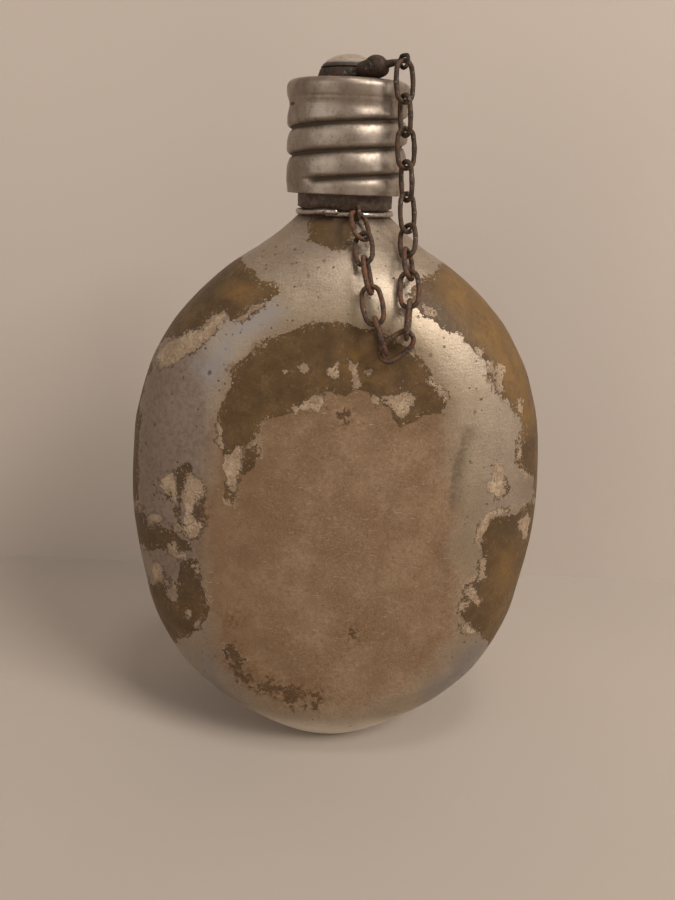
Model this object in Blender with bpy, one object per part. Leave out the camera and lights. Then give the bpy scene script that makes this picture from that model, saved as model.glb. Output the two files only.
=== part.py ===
"""Flattened aluminium field flask with a threaded neck, and a screw cap kept on it by a chain."""
import math

import bmesh
import bpy
from mathutils import Matrix, Vector

MM = 0.001

# Flask body: the front outline is a curve through shares of its height and of its half width.
BODY_WIDTH = 125.6 * MM
BODY_DEPTH = 68.0 * MM
SHOULDER_HEIGHT = 163.3 * MM
FOOT_RADIUS = 17.0 * MM
WALL = 1.2 * MM
BODY_OUTLINE = (
    (0.021, 0.36), (0.055, 0.486), (0.104, 0.656), (0.184, 0.828), (0.306, 0.948),
    (0.478, 1.0), (0.612, 0.981), (0.723, 0.908), (0.802, 0.80), (0.863, 0.669),
    (0.912, 0.522), (0.949, 0.376), (0.98, 0.271),
)
BODY_SQUARENESS = 0.6
BODY_ROWS = 21
BODY_COLUMNS = 44

# Shallow oval panels pressed into the front and the back.
PANEL_WIDTH = 68.0 * MM
PANEL_HEIGHT = 121.0 * MM
PANEL_MIDDLE = 78.0 * MM
PANEL_SINK = 1.3 * MM
PANEL_EDGE = 0.16

# Neck, and its groove for the chain's ring.
NECK_RADIUS = 13.5 * MM
BARE_NECK = 6.2 * MM
RING_GROOVE_WIDTH = 2.6 * MM
LIP_ROUND = 0.5 * MM

# Screw thread: one rolled groove climbs to the right round the cap and presses into the neck's thread.
THREAD_PITCH = 7.0 * MM
THREAD_ROOT_STEP = 0.7 * MM
THREAD_FLANK = 1.5 * MM
GROOVE_START = math.radians(233.0)
GROOVE_TURNS = 2.86
GROOVE_RUN_OUT = 0.07
GROOVE_RISE = 3.8 * MM
GROOVE_HALF_WIDTH = 1.7 * MM
GROOVE_DEPTH = 1.3 * MM
THREAD_ROWS = (0.0, 0.12, 0.243, 0.757, 0.88)
THREAD_COLUMNS = 36

# Screw cap.
CAP_HEIGHT = 29.5 * MM
CAP_BAND_STEP = 0.2 * MM
CAP_SKIRT_STEP = 0.3 * MM
CAP_SKIRT = 0.8 * MM
CAP_WALL = 0.8 * MM
CAP_ROUND = 3.0 * MM

# Clearances.
SEAT_GAP = 0.3 * MM
THREAD_CREST_GAP = 0.4 * MM
THREAD_ROOT_GAP = 0.6 * MM

# Seal, washer and rivet in the cap's top.
SEAL_THICKNESS = 2.6 * MM
SEAL_OVERHANG = 0.7 * MM
SEAL_EDGE = 0.4 * MM
WASHER_RADIUS = 9.0 * MM
WASHER_THICKNESS = 0.8 * MM
RIVET_SHANK = 2.0 * MM
RIVET_HEAD_RADIUS = 8.8 * MM
RIVET_HEAD_EDGE = 0.9 * MM
RIVET_CROWN = 2.9 * MM
RIVET_TAIL_RADIUS = 3.6 * MM
RIVET_TAIL_FLAT = 2.5 * MM
RIVET_TAIL = 1.4 * MM

# Swivel under the rivet's head: a plate, a tongue, a thick lug, a short arm and an eye for the first link.
SWIVEL_RADIUS = 8.5 * MM
SWIVEL_THICKNESS = 2.8 * MM
SWIVEL_EDGE = 0.5 * MM
TONGUE_RADIUS = 1.3 * MM
LUG_ANGLE = math.radians(-58.0)
LUG_LENGTH = 7.0 * MM
LUG_WIDTH = 6.0 * MM
LUG_HEIGHT = 5.4 * MM
ARM_ROOT_RADIUS = 1.1 * MM
ARM_TIP_RADIUS = 0.6 * MM
EYE_ANGLE = math.radians(-46.0)
EYE_RISE = 3.9 * MM
EYE_TWIST = math.radians(-10.0)
EYE_HOLE = 1.15 * MM
EYE_WIRE = 0.55 * MM

# Chain: one roll about its own length, in degrees, for each link from the swivel to the ring.
# The first links hang from the swivel and the rest from the ring.
LINK_LENGTH = 11.4 * MM
LINK_WIDTH = 6.2 * MM
LINK_WIRE = 0.72 * MM
LINK_PLAY = 0.3 * MM
LINK_ROLLS = (-30, 62, -26, 60, -40, 42, -60, 22, -80, 0, 88, -6, 76, -28, 40)
LINKS_ON_SWIVEL = 10

# Wire ring that ties the chain to the neck.
RING_WIRE = 0.8 * MM
RING_SINK = 0.2 * MM
RING_EYE_ANGLE = math.radians(-77.0)
RING_EYE_REACH = 2.5 * MM
RING_EYE_RISE = 0.4 * MM

# The chain's way from the swivel's eye: it hangs, lies on the shoulder, turns and climbs to the ring.
# Each pair is a place on the front of the shoulder: across from the middle, and down from the neck.
CHAIN_DOWN = ((16.0, 7.3), (16.3, 13.8), (17.0, 20.8), (17.7, 27.3))
CHAIN_TURN = ((16.9, 33.7), (13.6, 35.7), (10.4, 34.0))
CHAIN_UP = ((9.2, 27.3), (7.3, 19.8), (5.8, 13.3), (4.6, 6.8))
CHAIN_STANDOFF = 3.5 * MM
HANG_SHARES = (0.2, 0.45, 0.7)
HANG_OUT = 0.8 * MM
LEAST_SAG = -12.0 * MM
MOST_SAG = 14.0 * MM

# Steps round turned pieces and the swivel's lug and arm, and round and along bent wire.
TURNED_STEPS = 32
LUG_SIDES = 14
LUG_ROWS = 9
ARM_SIDES = 10
WIRE_SIDES = 6
EYE_STEPS = 14
RING_STEPS = 40
LINK_BEND_STEPS = 7

# Rows up the cap's round shoulder and the rivet's crown, as angles in degrees.
CAP_ROUND_ROWS = (30, 60, 90)
RIVET_CROWN_ROWS = (0, 20, 42, 65)

# Points between two knots of the chain's way, and rounds to narrow a length, the sag and the links' hold.
ROUTE_STEPS = 24
LENGTH_ROUNDS = 30
SAG_ROUNDS = 24
HOLD_ROUNDS = 8


def material(name, colour, metallic, roughness):
    """A plain surface of one colour."""
    made = bpy.data.materials.new(name)
    made.use_nodes = True
    shader = made.node_tree.nodes["Principled BSDF"]
    shader.inputs["Base Color"].default_value = (*colour, 1.0)
    shader.inputs["Metallic"].default_value = metallic
    shader.inputs["Roughness"].default_value = roughness
    return made


def finish(bm, name, surface, location=(0, 0, 0), sharp_angle=40.0):
    """Turn a mesh under construction into a named, smooth-shaded object."""
    bmesh.ops.recalc_face_normals(bm, faces=bm.faces)
    mesh = bpy.data.meshes.new(name)
    bm.to_mesh(mesh)
    bm.free()
    mesh.shade_smooth()
    mesh.set_sharp_from_angle(angle=math.radians(sharp_angle))
    mesh.materials.append(surface)
    made = bpy.data.objects.new(name, mesh)
    made.location = location
    bpy.context.scene.collection.objects.link(made)
    return made


def skin(bm, rings):
    """Join each ring of corners to the next one."""
    for lower, upper in zip(rings, rings[1:]):
        count = len(lower)
        for place in range(count):
            after = (place + 1) % count
            bm.faces.new((lower[place], lower[after], upper[after], upper[place]))


def corners(bm, points):
    """New corners at the points of one ring."""
    return [bm.verts.new(point) for point in points]


def circle(radius, height, count):
    """Points of a level circle round the Z axis."""
    steps = [2 * math.pi * place / count for place in range(count)]
    return [Vector((radius * math.cos(a), radius * math.sin(a), height)) for a in steps]


def smooth_step(value):
    """Ease from 0 to 1 as the value goes from 0 to 1."""
    held = min(max(value, 0.0), 1.0)
    return held * held * (3 - 2 * held)


def curve_through(knots, place):
    """Height of a smooth curve through the knots that never swings past them."""
    xs = [knot[0] for knot in knots]
    ys = [knot[1] for knot in knots]
    steps = [b - a for a, b in zip(xs, xs[1:])]
    grades = [(b - a) / step for a, b, step in zip(ys, ys[1:], steps)]
    slopes = [grades[0]]
    for before, after in zip(grades, grades[1:]):
        slopes.append(0.0 if before * after <= 0 else 2 * before * after / (before + after))
    slopes.append(grades[-1])
    held = min(max(place, xs[0]), xs[-1])
    part = max(index for index in range(len(steps)) if xs[index] <= held)
    t = (held - xs[part]) / steps[part]
    rise = ys[part] * (2 * t**3 - 3 * t**2 + 1) + ys[part + 1] * (3 * t**2 - 2 * t**3)
    return rise + steps[part] * (slopes[part] * (t**3 - 2 * t**2 + t) + slopes[part + 1] * (t**3 - t**2))


def body_knots():
    """The front outline as height and half width, from the foot to the neck."""
    middle = [(up * SHOULDER_HEIGHT, out * BODY_WIDTH / 2) for up, out in BODY_OUTLINE]
    return [(0.0, FOOT_RADIUS)] + middle + [(SHOULDER_HEIGHT, NECK_RADIUS)]


def body_section(height):
    """Half width, half depth and squareness of the flask at a height."""
    half_width = curve_through(body_knots(), height)
    wide = (BODY_WIDTH / 2 - NECK_RADIUS)
    deep = (BODY_DEPTH / 2 - NECK_RADIUS)
    share = min(max((half_width - NECK_RADIUS) / wide, 0.0), 1.0)
    half_depth = NECK_RADIUS + deep * (1 - (1 - share) ** (wide / deep))
    return half_width, half_depth, 2 + BODY_SQUARENESS * share


def panel_sink(across, height):
    """How far the pressed panel lies under the body's face."""
    reach = math.hypot(across / (PANEL_WIDTH / 2), (height - PANEL_MIDDLE) / (PANEL_HEIGHT / 2))
    return PANEL_SINK * smooth_step((1 + PANEL_EDGE - reach) / (2 * PANEL_EDGE))


def body_point(angle, height):
    """A point of the flask's outer skin."""
    half_width, half_depth, square = body_section(height)
    c = math.cos(angle)
    s = math.sin(angle)
    x = half_width * math.copysign(abs(c) ** (2 / square), c)
    y = half_depth * math.copysign(abs(s) ** (2 / square), s)
    lean = abs(s) ** 2
    return Vector((x, y - math.copysign(panel_sink(x, height), s) * lean, height))


def body_normal(angle, height):
    """The outward direction of the flask's skin at a point."""
    turn = 0.02
    rise = 0.4 * MM
    along = body_point(angle + turn, height) - body_point(angle - turn, height)
    low = max(height - rise, 0.0)
    high = min(height + rise, SHOULDER_HEIGHT)
    up = body_point(angle, high) - body_point(angle, low)
    return along.cross(up).normalized()


def cap_bottom():
    """Lower rim of the cap, above the bare neck."""
    return SHOULDER_HEIGHT + BARE_NECK


def cap_top():
    """Outer face of the cap's top."""
    return cap_bottom() + CAP_HEIGHT


def seal_top():
    """Upper face of the seal, under the cap's top."""
    return cap_top() - CAP_WALL - SEAT_GAP


def washer_top():
    """Upper face of the washer, under the seal."""
    return seal_top() - SEAL_THICKNESS - SEAT_GAP


def lip_height():
    """Top of the neck, just under the seal."""
    return seal_top() - SEAL_THICKNESS - SEAT_GAP


def thread_root():
    """Least radius of the neck's thread."""
    return NECK_RADIUS + THREAD_ROOT_STEP


def cap_outside():
    """Outer radius of the cap's plain wall, with its groove just clear of the neck's thread."""
    return thread_root() + THREAD_ROOT_GAP + CAP_WALL + GROOVE_DEPTH


def cap_band():
    """Outer radius of the band at the cap's top."""
    return cap_outside() + CAP_BAND_STEP


def cap_skirt():
    """Outer radius of the cap's lower rim."""
    return cap_outside() - CAP_SKIRT_STEP


def thread_place(angle, height):
    """Height above the nearest turn of the groove, and the turns that lie before that turn."""
    round_share = (angle - GROOVE_START) / (2 * math.pi)
    climb = (height - cap_bottom() - GROOVE_RISE) / THREAD_PITCH - round_share
    nearest = round(climb)
    return (climb - nearest) * THREAD_PITCH, nearest + round_share


def groove_share(angle, height, half_width, turns):
    """Depth share of the groove: 1 on its centre line, 0 beside it and past its ends."""
    away, done = thread_place(angle, height)
    bump = 0.5 + 0.5 * math.cos(math.pi * min(abs(away) / half_width, 1.0))
    begun = smooth_step(done / GROOVE_RUN_OUT + 0.5)
    return bump * begun * smooth_step((turns - done) / GROOVE_RUN_OUT + 0.5)


def cap_radius(angle, height):
    """Outer radius of the cap's wall."""
    up = height - cap_bottom()
    bare = cap_outside() - CAP_SKIRT_STEP * (1 - smooth_step(up / GROOVE_RISE))
    bare += CAP_BAND_STEP * smooth_step((up - CAP_HEIGHT + CAP_ROUND + GROOVE_RISE) / GROOVE_RISE)
    return bare - GROOVE_DEPTH * groove_share(angle, height, GROOVE_HALF_WIDTH, GROOVE_TURNS)


def cap_inner_radius(angle, height):
    """Inner radius of the cap's wall."""
    return cap_radius(angle, height) - CAP_WALL


def neck_radius(angle, height):
    """Outer radius of the neck's threaded stretch."""
    crest = cap_skirt() - CAP_WALL - THREAD_CREST_GAP
    rise = smooth_step((height - cap_bottom() - CAP_SKIRT) / THREAD_FLANK)
    fall = smooth_step((lip_height() - LIP_ROUND - height) / THREAD_FLANK)
    bare = NECK_RADIUS + (crest - NECK_RADIUS) * rise
    bare = thread_root() + (bare - thread_root()) * fall
    cut = groove_share(angle, height, GROOVE_HALF_WIDTH + SEAT_GAP, math.inf)
    return bare - max(bare - thread_root(), 0.0) * cut


def row_heights(turn_share, low, high):
    """Heights of a threaded wall's rows at one place round the axis, which lie along the thread."""
    share = turn_share - GROOVE_START / (2 * math.pi)
    start = cap_bottom() + GROOVE_RISE
    first = math.floor((low - start) / THREAD_PITCH) - 1
    last = math.ceil((high - start) / THREAD_PITCH) + 2
    turns = range(first, last)
    return [start + (share + turn + row) * THREAD_PITCH for turn in turns for row in THREAD_ROWS]


def spiral_wall(bm, low, high, radius_at, count):
    """A wall round the axis whose rows climb with the thread, and its bottom and top rings."""
    made = {}
    snap = 0.2 * MM

    def corner(column, height):
        held = min(max(height, low), high)
        held = low if held - low < snap else high if high - held < snap else held
        key = (column % count, round(held / MM, 3))
        if key not in made:
            angle = 2 * math.pi * key[0] / count
            radius = radius_at(angle, held)
            made[key] = bm.verts.new((radius * math.cos(angle), radius * math.sin(angle), held))
        return made[key]

    for column in range(count):
        here = row_heights(column / count, low, high)
        there = row_heights((column + 1) / count, low, high)
        for row in range(len(here) - 1):
            loop = [corner(column, here[row]), corner(column + 1, there[row])]
            loop += [corner(column + 1, there[row + 1]), corner(column, here[row + 1])]
            face = [vert for place, vert in enumerate(loop) if vert not in loop[:place]]
            if len(face) > 2:
                bm.faces.new(face)
    bottom = [corner(column, low) for column in range(count)]
    top = [corner(column, high) for column in range(count)]
    return bottom, top


def turned(bm, outline, count):
    """A solid of revolution: a closed outline, or one whose two ends lie on the axis."""
    open_ends = outline[0][0] == 0
    middle = outline[1:-1] if open_ends else outline
    rings = [corners(bm, circle(radius, height, count)) for radius, height in middle]
    skin(bm, rings)
    if not open_ends:
        skin(bm, (rings[-1], rings[0]))
        return
    for ring, end in ((rings[0], outline[0]), (rings[-1], outline[-1])):
        tip = bm.verts.new((0, 0, end[1]))
        for place in range(count):
            bm.faces.new((ring[place], ring[(place + 1) % count], tip))


def swept_loop(bm, path, normal, radius):
    """A round wire along a closed flat path."""
    rings = []
    count = len(path)
    for place in range(count):
        along = (path[(place + 1) % count] - path[place - 1]).normalized()
        across = along.cross(normal)
        turns = [2 * math.pi * (side + 0.5) / WIRE_SIDES for side in range(WIRE_SIDES)]
        ways = [math.cos(turn) * across + math.sin(turn) * normal for turn in turns]
        rings.append(corners(bm, [path[place] + radius * way for way in ways]))
    skin(bm, rings + [rings[0]])


def link_path():
    """Centre line of a link: its near end lies at the origin and its length runs down."""
    end = LINK_WIDTH / 2 - LINK_WIRE
    reach = LINK_LENGTH - 2 * LINK_WIRE
    path = []
    for centre, start in ((-end, 0.0), (end - reach, math.pi)):
        for step in range(LINK_BEND_STEPS + 1):
            angle = start + math.pi * step / LINK_BEND_STEPS
            path.append(Vector((end * math.cos(angle), 0, centre + end * math.sin(angle))))
    return path


def groove_root():
    """Radius of the neck at the bottom of the ring's groove."""
    return ring_radius() - RING_WIRE - SEAT_GAP


def groove_top():
    """Upper edge of the ring's groove."""
    return SHOULDER_HEIGHT + RING_GROOVE_WIDTH


def bore():
    """Radius of the neck's bore."""
    return NECK_RADIUS - WALL


def body_rows():
    """Heights of the body's rows, closer together towards the foot and the neck."""
    turns = [math.pi * row / BODY_ROWS for row in range(BODY_ROWS + 1)]
    return [SHOULDER_HEIGHT * (0.5 - 0.5 * math.cos(turn)) for turn in turns]


def inside_rings(bm, angles):
    """Rings of the inner skin, from the lip down through the bore to the floor."""
    slope = (NECK_RADIUS - groove_root()) / 2
    count = len(angles)
    stations = (
        (thread_root() - LIP_ROUND, lip_height()),
        (bore() + LIP_ROUND, lip_height()),
        (bore(), lip_height() - LIP_ROUND),
        (bore(), groove_top() + WALL),
        (groove_root() - WALL, groove_top()),
        (groove_root() - WALL, SHOULDER_HEIGHT + slope),
        (bore(), SHOULDER_HEIGHT - WALL / 2),
    )
    rings = [corners(bm, circle(radius, height, count)) for radius, height in stations]
    for height in body_rows()[-3:1:-2]:
        inner = [body_point(angle, height) - WALL * body_normal(angle, height) for angle in angles]
        rings.append(corners(bm, inner))
    rings.append(corners(bm, circle(FOOT_RADIUS - WALL, WALL, count)))
    return rings


def flask_body(surface):
    """The drawn body on its flat foot, its neck with the ring's groove, thread and open mouth."""
    bm = bmesh.new()
    count = BODY_COLUMNS
    angles = [2 * math.pi * column / count for column in range(count)]
    rings = [corners(bm, [body_point(angle, height) for angle in angles]) for height in body_rows()]
    slope = (NECK_RADIUS - groove_root()) / 2
    rings.append(corners(bm, circle(groove_root(), SHOULDER_HEIGHT + slope, count)))
    rings.append(corners(bm, circle(groove_root(), groove_top() - slope, count)))
    rings.append(corners(bm, circle(NECK_RADIUS, groove_top(), count)))
    low = cap_bottom() + CAP_SKIRT
    high = lip_height() - LIP_ROUND
    thread_low, thread_high = spiral_wall(bm, low, high, neck_radius, count)
    inside = inside_rings(bm, angles)
    skin(bm, rings + [thread_low])
    skin(bm, [thread_high] + inside)
    bm.faces.new(rings[0])
    bm.faces.new(inside[-1])
    return finish(bm, "flask_body", surface)


def screw_cap(surface):
    """The pressed cap: rolled thread in its wall, a round shoulder and a hole for the rivet."""
    bm = bmesh.new()
    count = THREAD_COLUMNS
    low = cap_bottom() + CAP_SKIRT
    high = cap_top() - CAP_ROUND
    hole = RIVET_SHANK + SEAT_GAP

    out_low, out_high = spiral_wall(bm, low, high, cap_radius, count)
    in_low, in_high = spiral_wall(bm, low, high, cap_inner_radius, count)
    rim_out = corners(bm, circle(cap_skirt(), cap_bottom(), count))
    rim_in = corners(bm, circle(cap_skirt() - CAP_WALL, cap_bottom(), count))
    skin(bm, (in_low, rim_in, rim_out, out_low))

    outer = [out_high]
    inner = [in_high]
    middle = cap_band() - CAP_ROUND
    for angle in CAP_ROUND_ROWS:
        out = math.cos(math.radians(angle))
        up = math.sin(math.radians(angle))
        for rings, reach in ((outer, CAP_ROUND), (inner, CAP_ROUND - CAP_WALL)):
            rings.append(corners(bm, circle(middle + reach * out, high + reach * up, count)))
    outer.append(corners(bm, circle(hole, cap_top(), count)))
    inner.append(corners(bm, circle(hole, cap_top() - CAP_WALL, count)))
    skin(bm, outer + inner[::-1])
    return finish(bm, "screw_cap", surface, sharp_angle=50.0)


def cap_seal(surface):
    """The soft disc that the cap presses on the neck's lip."""
    radius = cap_band() - CAP_ROUND + SEAL_OVERHANG
    hole = RIVET_SHANK + SEAT_GAP
    top = seal_top()
    low = top - SEAL_THICKNESS
    outline = ((hole, low), (radius - SEAL_EDGE, low), (radius, low + SEAL_EDGE))
    outline += ((radius, top - SEAL_EDGE), (radius - SEAL_EDGE, top), (hole, top))
    bm = bmesh.new()
    turned(bm, outline, TURNED_STEPS)
    return finish(bm, "cap_seal", surface)


def seal_washer(surface):
    """The metal disc that holds the seal up inside the cap."""
    hole = RIVET_SHANK + SEAT_GAP
    top = washer_top()
    low = top - WASHER_THICKNESS
    bm = bmesh.new()
    turned(bm, ((hole, low), (WASHER_RADIUS, low), (WASHER_RADIUS, top), (hole, top)), TURNED_STEPS)
    return finish(bm, "seal_washer", surface)


def cap_rivet(surface):
    """The rivet: a wide domed head above the swivel and a small one under the washer."""
    tail_top = washer_top() - WASHER_THICKNESS - SEAT_GAP
    head_low = cap_top() + SWIVEL_THICKNESS + 2 * SEAT_GAP
    crown_low = head_low + RIVET_HEAD_EDGE
    outline = [(0, tail_top - RIVET_TAIL), (RIVET_TAIL_FLAT, tail_top - RIVET_TAIL)]
    outline += [(RIVET_TAIL_RADIUS, tail_top - RIVET_TAIL / 2), (RIVET_TAIL_RADIUS, tail_top)]
    outline += [(RIVET_SHANK, tail_top), (RIVET_SHANK, head_low)]
    outline += [(RIVET_HEAD_RADIUS - SEAT_GAP, head_low), (RIVET_HEAD_RADIUS, head_low + SEAT_GAP)]
    for angle in RIVET_CROWN_ROWS:
        out = RIVET_HEAD_RADIUS * math.cos(math.radians(angle))
        outline.append((out, crown_low + RIVET_CROWN * math.sin(math.radians(angle))))
    outline.append((0, crown_low + RIVET_CROWN))
    bm = bmesh.new()
    turned(bm, outline, TURNED_STEPS)
    return finish(bm, "cap_rivet", surface)


def add_union(target, piece):
    """Join a hidden helper's shape to the target."""
    piece.hide_render = True
    piece.display_type = "WIRE"
    join = target.modifiers.new(piece.name, "BOOLEAN")
    join.operation = "UNION"
    join.solver = "EXACT"
    join.object = piece


def spoke(angle):
    """The level direction away from the axis at an angle."""
    return Vector((math.cos(angle), math.sin(angle), 0))


def eye_centre():
    """Middle of the swivel's eye, where the chain begins, far enough out for it to clear the cap."""
    height = Vector((0, 0, cap_top() + SEAT_GAP + EYE_RISE))
    return (cap_band() + LINK_WIDTH / 2) * spoke(EYE_ANGLE) + height


def eye_loop(bm, centre, facing):
    """A small wire eye whose hole looks along the facing direction."""
    radius = EYE_HOLE + EYE_WIRE
    side = facing.cross(Vector((0, 0, 1))).normalized()
    rise = side.cross(facing).normalized()
    turns = [2 * math.pi * step / EYE_STEPS for step in range(EYE_STEPS)]
    path = [centre + radius * (math.cos(turn) * side + math.sin(turn) * rise) for turn in turns]
    swept_loop(bm, path, facing, EYE_WIRE)


def rod_between(bm, start, end, start_radius, end_radius):
    """A round bar between two points, straight or tapered."""
    along = end - start
    place = Matrix.Translation((start + end) / 2) @ along.to_track_quat("Z", "Y").to_matrix().to_4x4()
    sizes = {"radius1": start_radius, "radius2": end_radius, "depth": along.length}
    bmesh.ops.create_cone(bm, cap_ends=True, segments=ARM_SIDES, matrix=place, **sizes)


def lug_centre():
    """Middle of the swivel's lug, just outside the rivet's head."""
    height = Vector((0, 0, cap_top() + SEAT_GAP + LUG_HEIGHT / 2))
    return (RIVET_HEAD_RADIUS + SEAT_GAP + LUG_LENGTH / 2) * spoke(LUG_ANGLE) + height


def chain_swivel(surface):
    """The plate that turns on the rivet, with its tongue, lug, arm and eye."""
    low = cap_top() + SEAT_GAP
    top = low + SWIVEL_THICKNESS
    hole = RIVET_SHANK + SEAT_GAP
    outline = ((hole, low), (SWIVEL_RADIUS - SWIVEL_EDGE, low), (SWIVEL_RADIUS, low + SWIVEL_EDGE))
    outline += ((SWIVEL_RADIUS, top - SWIVEL_EDGE), (SWIVEL_RADIUS - SWIVEL_EDGE, top), (hole, top))
    bm = bmesh.new()
    turned(bm, outline, TURNED_STEPS)
    plate = finish(bm, "chain_swivel", surface)

    lug = lug_centre()
    centre = eye_centre()
    toward_eye = (centre - lug).normalized()
    heading = math.atan2(toward_eye.y, toward_eye.x)
    place = Matrix.Translation(lug) @ Matrix.Rotation(heading, 4, "Z")
    place = place @ Matrix.Diagonal((LUG_LENGTH / 2, LUG_WIDTH / 2, LUG_HEIGHT / 2, 1))
    bm = bmesh.new()
    bmesh.ops.create_uvsphere(bm, u_segments=LUG_SIDES, v_segments=LUG_ROWS, radius=1, matrix=place)
    add_union(plate, finish(bm, "lug_shape", surface))

    middle = Vector((0, 0, (low + top) / 2))
    root = middle + (SWIVEL_RADIUS - TONGUE_RADIUS) * spoke(LUG_ANGLE)
    tip = middle + lug.to_2d().length * spoke(LUG_ANGLE)
    bm = bmesh.new()
    rod_between(bm, root, tip, TONGUE_RADIUS, TONGUE_RADIUS)
    add_union(plate, finish(bm, "tongue_shape", surface))

    bm = bmesh.new()
    rod_between(bm, lug, centre - toward_eye * (EYE_HOLE + EYE_WIRE), ARM_ROOT_RADIUS, ARM_TIP_RADIUS)
    add_union(plate, finish(bm, "arm_shape", surface))

    bm = bmesh.new()
    eye_loop(bm, centre, spoke(EYE_ANGLE + math.pi / 2 + EYE_TWIST))
    add_union(plate, finish(bm, "eye_shape", surface))
    return plate


def ring_radius():
    """Centre line radius of the neck's wire ring."""
    return NECK_RADIUS - RING_SINK


def ring_height():
    """Height of the wire ring in its groove."""
    return SHOULDER_HEIGHT + RING_GROOVE_WIDTH / 2


def ring_eye():
    """Middle of the ring's own eye, where the chain ends."""
    height = Vector((0, 0, ring_height() + RING_EYE_RISE))
    return (ring_radius() + RING_EYE_REACH) * spoke(RING_EYE_ANGLE) + height


def neck_ring(surface):
    """The wire ring in the neck's groove, with an eye that stands out for the last link."""
    bm = bmesh.new()
    swept_loop(bm, circle(ring_radius(), 0, RING_STEPS), Vector((0, 0, 1)), RING_WIRE)
    ring = finish(bm, "neck_ring", surface, location=(0, 0, ring_height()))
    bm = bmesh.new()
    eye_loop(bm, ring_eye(), spoke(RING_EYE_ANGLE + math.pi / 2))
    add_union(ring, finish(bm, "ring_eye_shape", surface))
    return ring


def over_shoulder(across, height):
    """A point that floats in front of the shoulder by the chain's standoff."""
    half_width, half_depth, square = body_section(height)
    angle = -math.acos(min(across / half_width, 1.0) ** (square / 2))
    return body_point(angle, height) + CHAIN_STANDOFF * body_normal(angle, height)


def chain_route(sag):
    """Points close together along the chain's way; sag lowers its turn and stretches what leads there."""
    start = eye_centre()
    top = CHAIN_DOWN[0][1]
    landing = over_shoulder(CHAIN_DOWN[0][0] * MM, SHOULDER_HEIGHT - top * MM)
    knots = [start]
    for share in HANG_SHARES:
        fall = (landing.z - start.z) * share
        knots.append(start + Vector(((landing.x - start.x) * share, -HANG_OUT * share, fall)))
    for across, down in CHAIN_DOWN + CHAIN_TURN + CHAIN_UP:
        drop = sag * smooth_step((down - top) / (CHAIN_TURN[1][1] - top))
        knots.append(over_shoulder(across * MM, SHOULDER_HEIGHT - down * MM - drop))
    knots.append(ring_eye())
    return spline(knots)


def spline(knots):
    """Smooth curve through the knots, as points close together."""
    padded = [2 * knots[0] - knots[1]] + knots + [2 * knots[-1] - knots[-2]]
    points = []
    for a, b, c, d in zip(padded, padded[1:], padded[2:], padded[3:]):
        for step in range(ROUTE_STEPS):
            t = step / ROUTE_STEPS
            bend = (2 * a - 5 * b + 4 * c - d) * t**2 + (3 * b - a - 3 * c + d) * t**3
            points.append(0.5 * (2 * b + (c - a) * t + bend))
    return points + [knots[-1]]


def walk(points, lengths):
    """Places along the points at the given straight distances, and what is left at the end."""
    places = [points[0]]
    index = 0
    for length in lengths:
        here = places[-1]
        while index < len(points) - 1 and (points[index + 1] - here).length < length:
            index += 1
        if index == len(points) - 1:
            along = (points[-1] - points[-2]).normalized()
            places.append(here + along * length)
            continue
        low = 0.0
        high = 1.0
        for _ in range(LENGTH_ROUNDS):
            middle = (low + high) / 2
            if (points[index].lerp(points[index + 1], middle) - here).length < length:
                low = middle
            else:
                high = middle
        places.append(points[index].lerp(points[index + 1], low))
    return places


def lay_links(points):
    """Near and far ends of every link's wire, walked along the chain's way."""
    reach = LINK_LENGTH - 2 * LINK_WIRE
    hook = 2 * LINK_WIRE + LINK_PLAY
    count = len(LINK_ROLLS)
    lengths = [reach - hook] * count
    for _ in range(HOLD_ROUNDS):
        places = walk(points, lengths)
        ways = [(b - a).normalized() for a, b in zip(places, places[1:])]
        holds = [Vector((0, 0, 0))]
        for before, after, roll in zip(ways, ways[1:], LINK_ROLLS):
            share = swing_share(before, after, roll)
            holds.append(before.lerp(after, share).normalized() * hook / 2)
        holds.append(Vector((0, 0, 0)))
        near = [place - hold for place, hold in zip(places, holds)]
        far = [place + hold for place, hold in zip(places[1:], holds[1:])]
        for index in range(count):
            lengths[index] += reach - (far[index] - near[index]).length
    return near[:count], far


def hang_chain():
    """Links that end in the ring's eye: the sag is narrowed until their whole length fits."""
    low = LEAST_SAG
    high = MOST_SAG
    for _ in range(SAG_ROUNDS):
        sag = (low + high) / 2
        points = chain_route(sag)
        near, far = lay_links(points)
        beyond = (far[-1] - points[-1]).dot((points[-1] - points[-ROUTE_STEPS // 2]).normalized())
        if beyond > 0:
            low = sag
        else:
            high = sag
    return near, far


def link_turn(along, roll):
    """How a link stands: its length runs down its own Z axis and its flat side faces its own Y axis."""
    toward = Vector((0, -1, 0))
    flat = (toward - toward.dot(along) * along).normalized()
    flat = Matrix.Rotation(math.radians(roll), 3, along) @ flat
    side = flat.cross(-along)
    return Matrix((side, flat, -along)).transposed()


def swing_share(before, after, roll):
    """1 where the bend to the next link swings round this link's end wire, 0 where it swings across it."""
    bend = before.cross(after).normalized()
    end_wire = link_turn(before, roll).col[0]
    return bend.dot(end_wire) ** 2


def joint_places(near, far):
    """Where each link turns: in its hook on the swivel's side, or for the last ones on the ring's side."""
    hooks = [before.lerp(after, 0.5) for before, after in zip(far, near[1:])]
    hooks = [eye_centre()] + hooks + [ring_eye()]
    return hooks[:LINKS_ON_SWIVEL] + hooks[LINKS_ON_SWIVEL + 1:]


def link_frame(near, far, roll):
    """A link's place and turn."""
    return Matrix.Translation(near) @ link_turn((far - near).normalized(), roll).to_4x4()


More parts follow.
